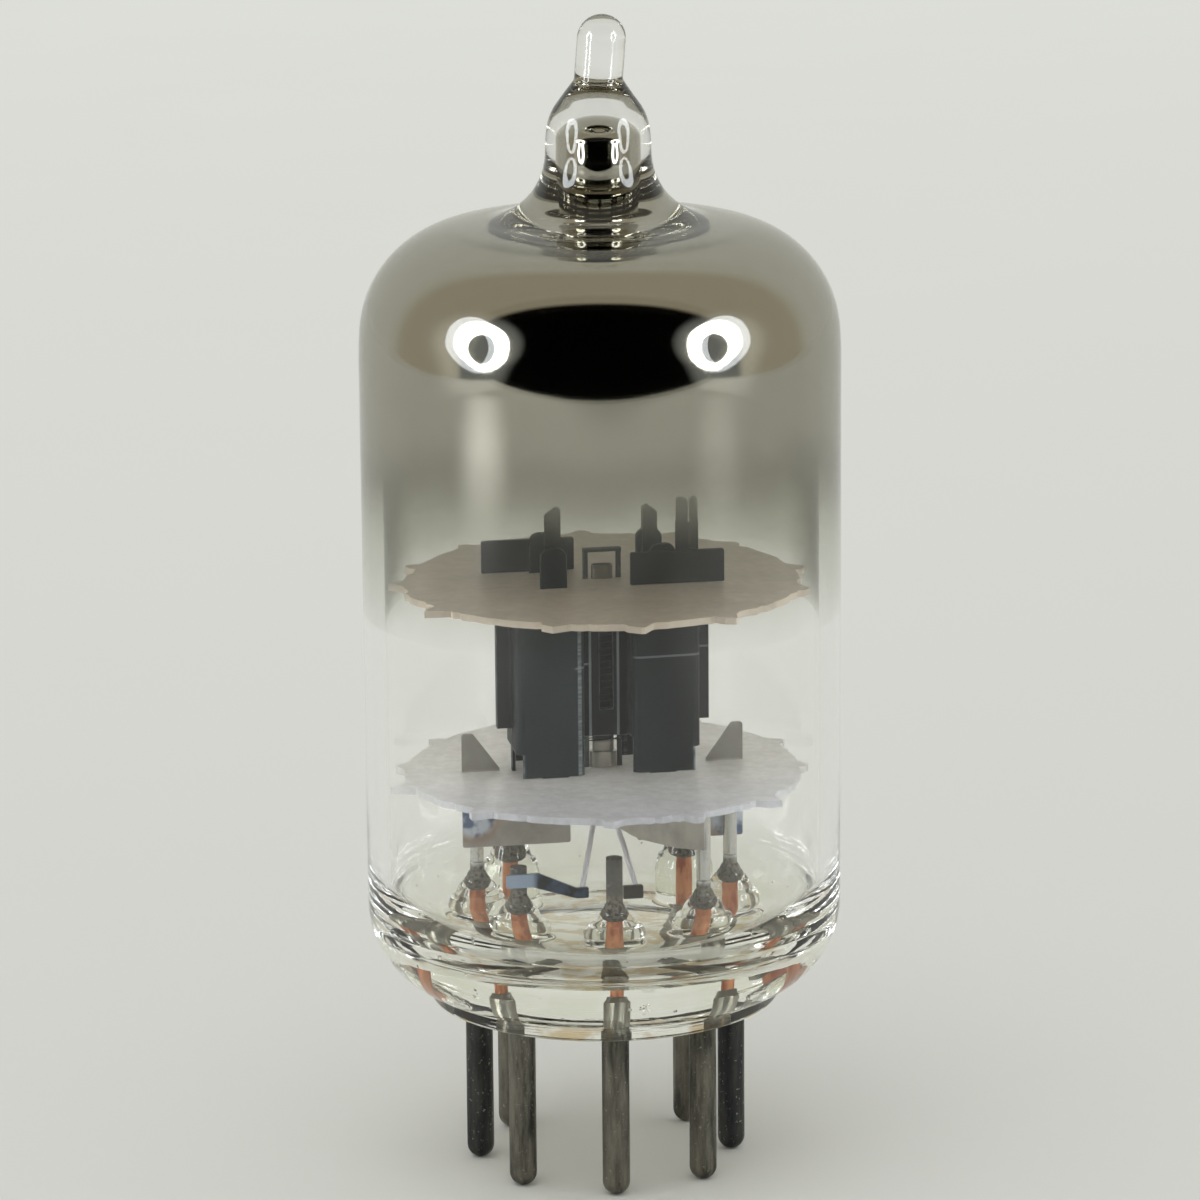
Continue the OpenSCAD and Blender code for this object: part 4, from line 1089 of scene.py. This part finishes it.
class TUBE_OT_stage(bpy.types.Operator):
    """Set the floor, the surround, the ring lamps and the camera"""
    bl_idname = "tube.stage"
    bl_label = "Stage"

    def execute(self, context):
        s = context.scene.tube_stage
        turn = Matrix.Rotation(s.turn, 4, "Z")
        self.floor(s)
        self.surround(s, turn)
        self.ring("ring_lamp_left", s, turn, LEFT_RING, 1)
        self.ring("ring_lamp_right", s, turn, RIGHT_RING, -1)
        self.spot("bright_floor_left", turn, LEFT_SPOT, s.glow)
        self.spot("bright_floor_right", turn, RIGHT_SPOT, 0.3 * s.glow)
        self.lamp("top_lamp", s.top, turn @ TOP_LAMP)
        self.world(context, s)
        data = bpy.data.cameras.new("camera")
        data.lens = s.lens
        data.shift_x = s.shift
        camera = bpy.data.objects.new("camera", data)
        context.scene.collection.objects.link(camera)
        camera.location = turn @ Vector((0, -s.distance, s.height))
        camera.rotation_euler = (math.pi / 2 - s.pitch, s.roll, s.turn)
        context.scene.camera = camera
        context.scene.view_settings.view_transform = "Standard"
        paths = context.scene.cycles
        paths.max_bounces = paths.transmission_bounces = paths.transparent_max_bounces = 24
        paths.glossy_bounces = 16
        return {"FINISHED"}

    def floor(self, s):
        floor = primitive("plane", "floor", size=4)
        f = Finish("floor sheet")
        cloud = f.noise(14 * MM, detail=2)
        # Painted light: the floor is painted lighter towards the far back.
        lit_paper = f.mix(f.ramp(f.y, 40 * MM, 380 * MM, kind="LINEAR"), s.floor, s.far)
        colour = f.mix(f.times(cloud, 0.1), lit_paper, s.floor * 0.93)
        indirect = f.most(f.ray("Glossy"), f.ray("Transmission"))
        edge = f.ramp(f.y, FLOOR_END - 20 * MM, FLOOR_END, 0.9, 0)
        near = f.times(f.band(f.y, -74 * MM, 42 * MM), f.band(f.x, -6 * MM, 70 * MM))
        shade = f.times(indirect, f.times(f.most(edge, near), s.shade))
        colour = f.mix(shade, colour, (0, 0, 0))
        floor.data.materials.append(f.coat(colour, 0.9, Specular_IOR_Level=0.0))

    def surround(self, s, turn):
        """What mirrors see past the sheet: dark in front, brown at the sides and pale behind."""
        room_r = 0.55
        far = room_r + 0.05
        dome = primitive("uv_sphere", "surround", segments=64, ring_count=32, radius=room_r)
        x, y = s.sheet_x, s.sheet_y
        for low, high in (((-far, -far), (far, -y)), ((-far, -y), (-x, far)), ((x, -y), (far, far))):
            strip = primitive("plane", "strip", size=1)
            across, deep = high[0] - low[0], high[1] - low[1]
            centre = ((low[0] + high[0]) / 2, (low[1] + high[1]) / 2, 0.1 * MM)
            strip.data.transform(Matrix.Translation(centre) @ Matrix.Diagonal((across, deep, 1, 1)))
            join(dome, strip)
        dome.data.transform(turn)
        f = Finish("surround")
        centred = f.moved(shift=(0, 0, -30 * MM))
        front = tuple(turn @ Vector((0, 1, 0)))
        back = f.vector("DOT_PRODUCT", f.vector("NORMALIZE", centred), front)
        brown = f.mix(f.ramp(back, -0.33, -0.24), (0.001, 0.001, 0.001), s.room)
        colour = f.mix(f.ramp(back, 0.38, 0.56), brown, s.floor)
        dome.data.materials.append(f.done(f.light(colour, 0.9)))
        for_mirrors(dome)

    def ring(self, name, s, turn, centre, hand):
        """What mirrors see of a ring lamp, drawn out so that the dome shows it round."""
        lamp = primitive("circle", name, vertices=96, radius=100 * MM, fill_type="NGON")
        f = Finish("ring lamp")
        outer = self.oval(f, (0, 0), 52 * MM, 61 * MM, 51 * MM, 0.25 * hand, 2.4)
        hole = self.oval(f, (2 * hand * MM, -6 * MM), 25 * MM, 38 * MM, 38 * MM, 0.2 * hand, 2.0)
        lit = f.times(outer, f.minus(1.0, hole))
        haze = f.ramp(f.away(), 66 * MM, 96 * MM, 0.3, 0.0)
        light = f.plus(f.times(lit, s.ring), haze)
        lamp.data.materials.append(f.glowing((0.92, 0.97, 1.0), light))
        facing = Vector((0.973 * hand, 0, -0.231))
        up = Vector((0.231 * hand, 0, 0.973))
        side = up.cross(facing)
        stand = Matrix((side, up, facing)).transposed().to_4x4()
        lamp.matrix_world = turn @ Matrix.Translation(centre) @ stand
        for_mirrors(lamp)

    def spot(self, name, turn, centre, strength):
        """What mirrors see of the floor that a ring lamp brightens."""
        patch = primitive("circle", name, vertices=64, radius=60 * MM, fill_type="NGON")
        f = Finish("bright floor")
        light = f.ramp(f.away(), 4 * MM, 42 * MM, strength, 0.0)
        patch.data.materials.append(f.glowing((0.96, 0.98, 1.0), light))
        patch.matrix_world = turn @ Matrix.Translation(centre)
        for_mirrors(patch)

    def oval(self, f, centre, wide, rise, drop, slant, power):
        """One inside a slanted oval in the lamp's plane and zero outside."""
        up = f.minus(f.y, centre[1])
        side = f.minus(f.minus(f.x, centre[0]), f.times(up, slant))
        tall = f.most(f.maths("DIVIDE", up, rise), f.maths("DIVIDE", up, -drop))
        broad = f.absolute(f.maths("DIVIDE", side, wide))
        reach = f.plus(f.maths("POWER", broad, power), f.maths("POWER", tall, power))
        return f.fall(reach, 0.93, 1.07)

    def lamp(self, name, power, place):
        """A soft round lamp that mirrors don't see, turned to the tube."""
        data = bpy.data.lights.new(name, "AREA")
        data.shape = "DISK"
        data.size = 400 * MM
        data.energy = power
        lamp = bpy.data.objects.new(name, data)
        bpy.context.scene.collection.objects.link(lamp)
        lamp.location = place
        lamp.rotation_euler = (LAMP_TARGET - place).to_track_quat("-Z", "Y").to_euler()
        lamp.visible_glossy = lamp.visible_transmission = lamp.visible_camera = False

    def world(self, context, s):
        """Soft light from all round; the camera, mirrors and glass see the backdrop instead."""
        world = bpy.data.worlds.new("world")
        context.scene.world = world
        f = Finish("world", world)
        seen = f.most(f.ray("Camera"), f.most(f.ray("Glossy"), f.ray("Transmission")))
        lit = f.light((1, 1, 1), s.world, "ShaderNodeBackground")
        shown = f.light(linear(220, 222, 216), 1, "ShaderNodeBackground")
        f.done(f.layered(seen, lit, shown), "ShaderNodeOutputWorld")


PIECES = (
    TUBE_OT_glass_envelope,
    TUBE_OT_getter_mirror,
    TUBE_OT_micas,
    TUBE_OT_pins_and_leads,
    TUBE_OT_anode,
    TUBE_OT_grid_and_cathode,
    TUBE_OT_straps,
    TUBE_OT_heater,
    TUBE_OT_getters,
    TUBE_OT_stage,
)


class TUBE_PT_pieces(bpy.types.Panel):
    """Lists the tube's pieces and their settings."""
    bl_label = "Triode"
    bl_idname = "TUBE_PT_pieces"
    bl_space_type = "VIEW_3D"
    bl_region_type = "UI"
    bl_category = "Triode"

    def draw(self, context):
        for piece in PIECES:
            self.layout.operator(piece.bl_idname)
        for name, group in SETTINGS.items():
            box = self.layout.box()
            for key in group.__annotations__:
                box.prop(getattr(context.scene, name), key)


def register():
    for group in SETTINGS.values():
        bpy.utils.register_class(group)
    for piece in PIECES:
        bpy.utils.register_class(piece)
    bpy.utils.register_class(TUBE_PT_pieces)
    for name, group in SETTINGS.items():
        setattr(bpy.types.Scene, name, PointerProperty(type=group))


def unregister():
    for name in SETTINGS:
        delattr(bpy.types.Scene, name)
    bpy.utils.unregister_class(TUBE_PT_pieces)
    for piece in reversed(PIECES):
        bpy.utils.unregister_class(piece)
    for group in reversed(SETTINGS.values()):
        bpy.utils.unregister_class(group)


def main():
    """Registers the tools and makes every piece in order."""
    register()
    bpy.ops.tube.glass_envelope()
    bpy.ops.tube.getter_mirror()
    bpy.ops.tube.micas()
    bpy.ops.tube.pins_and_leads()
    bpy.ops.tube.anode()
    bpy.ops.tube.grid_and_cathode()
    bpy.ops.tube.straps()
    bpy.ops.tube.heater()
    bpy.ops.tube.getters()
    bpy.ops.tube.stage()
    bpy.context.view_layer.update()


if __name__ == "__main__":
    main()
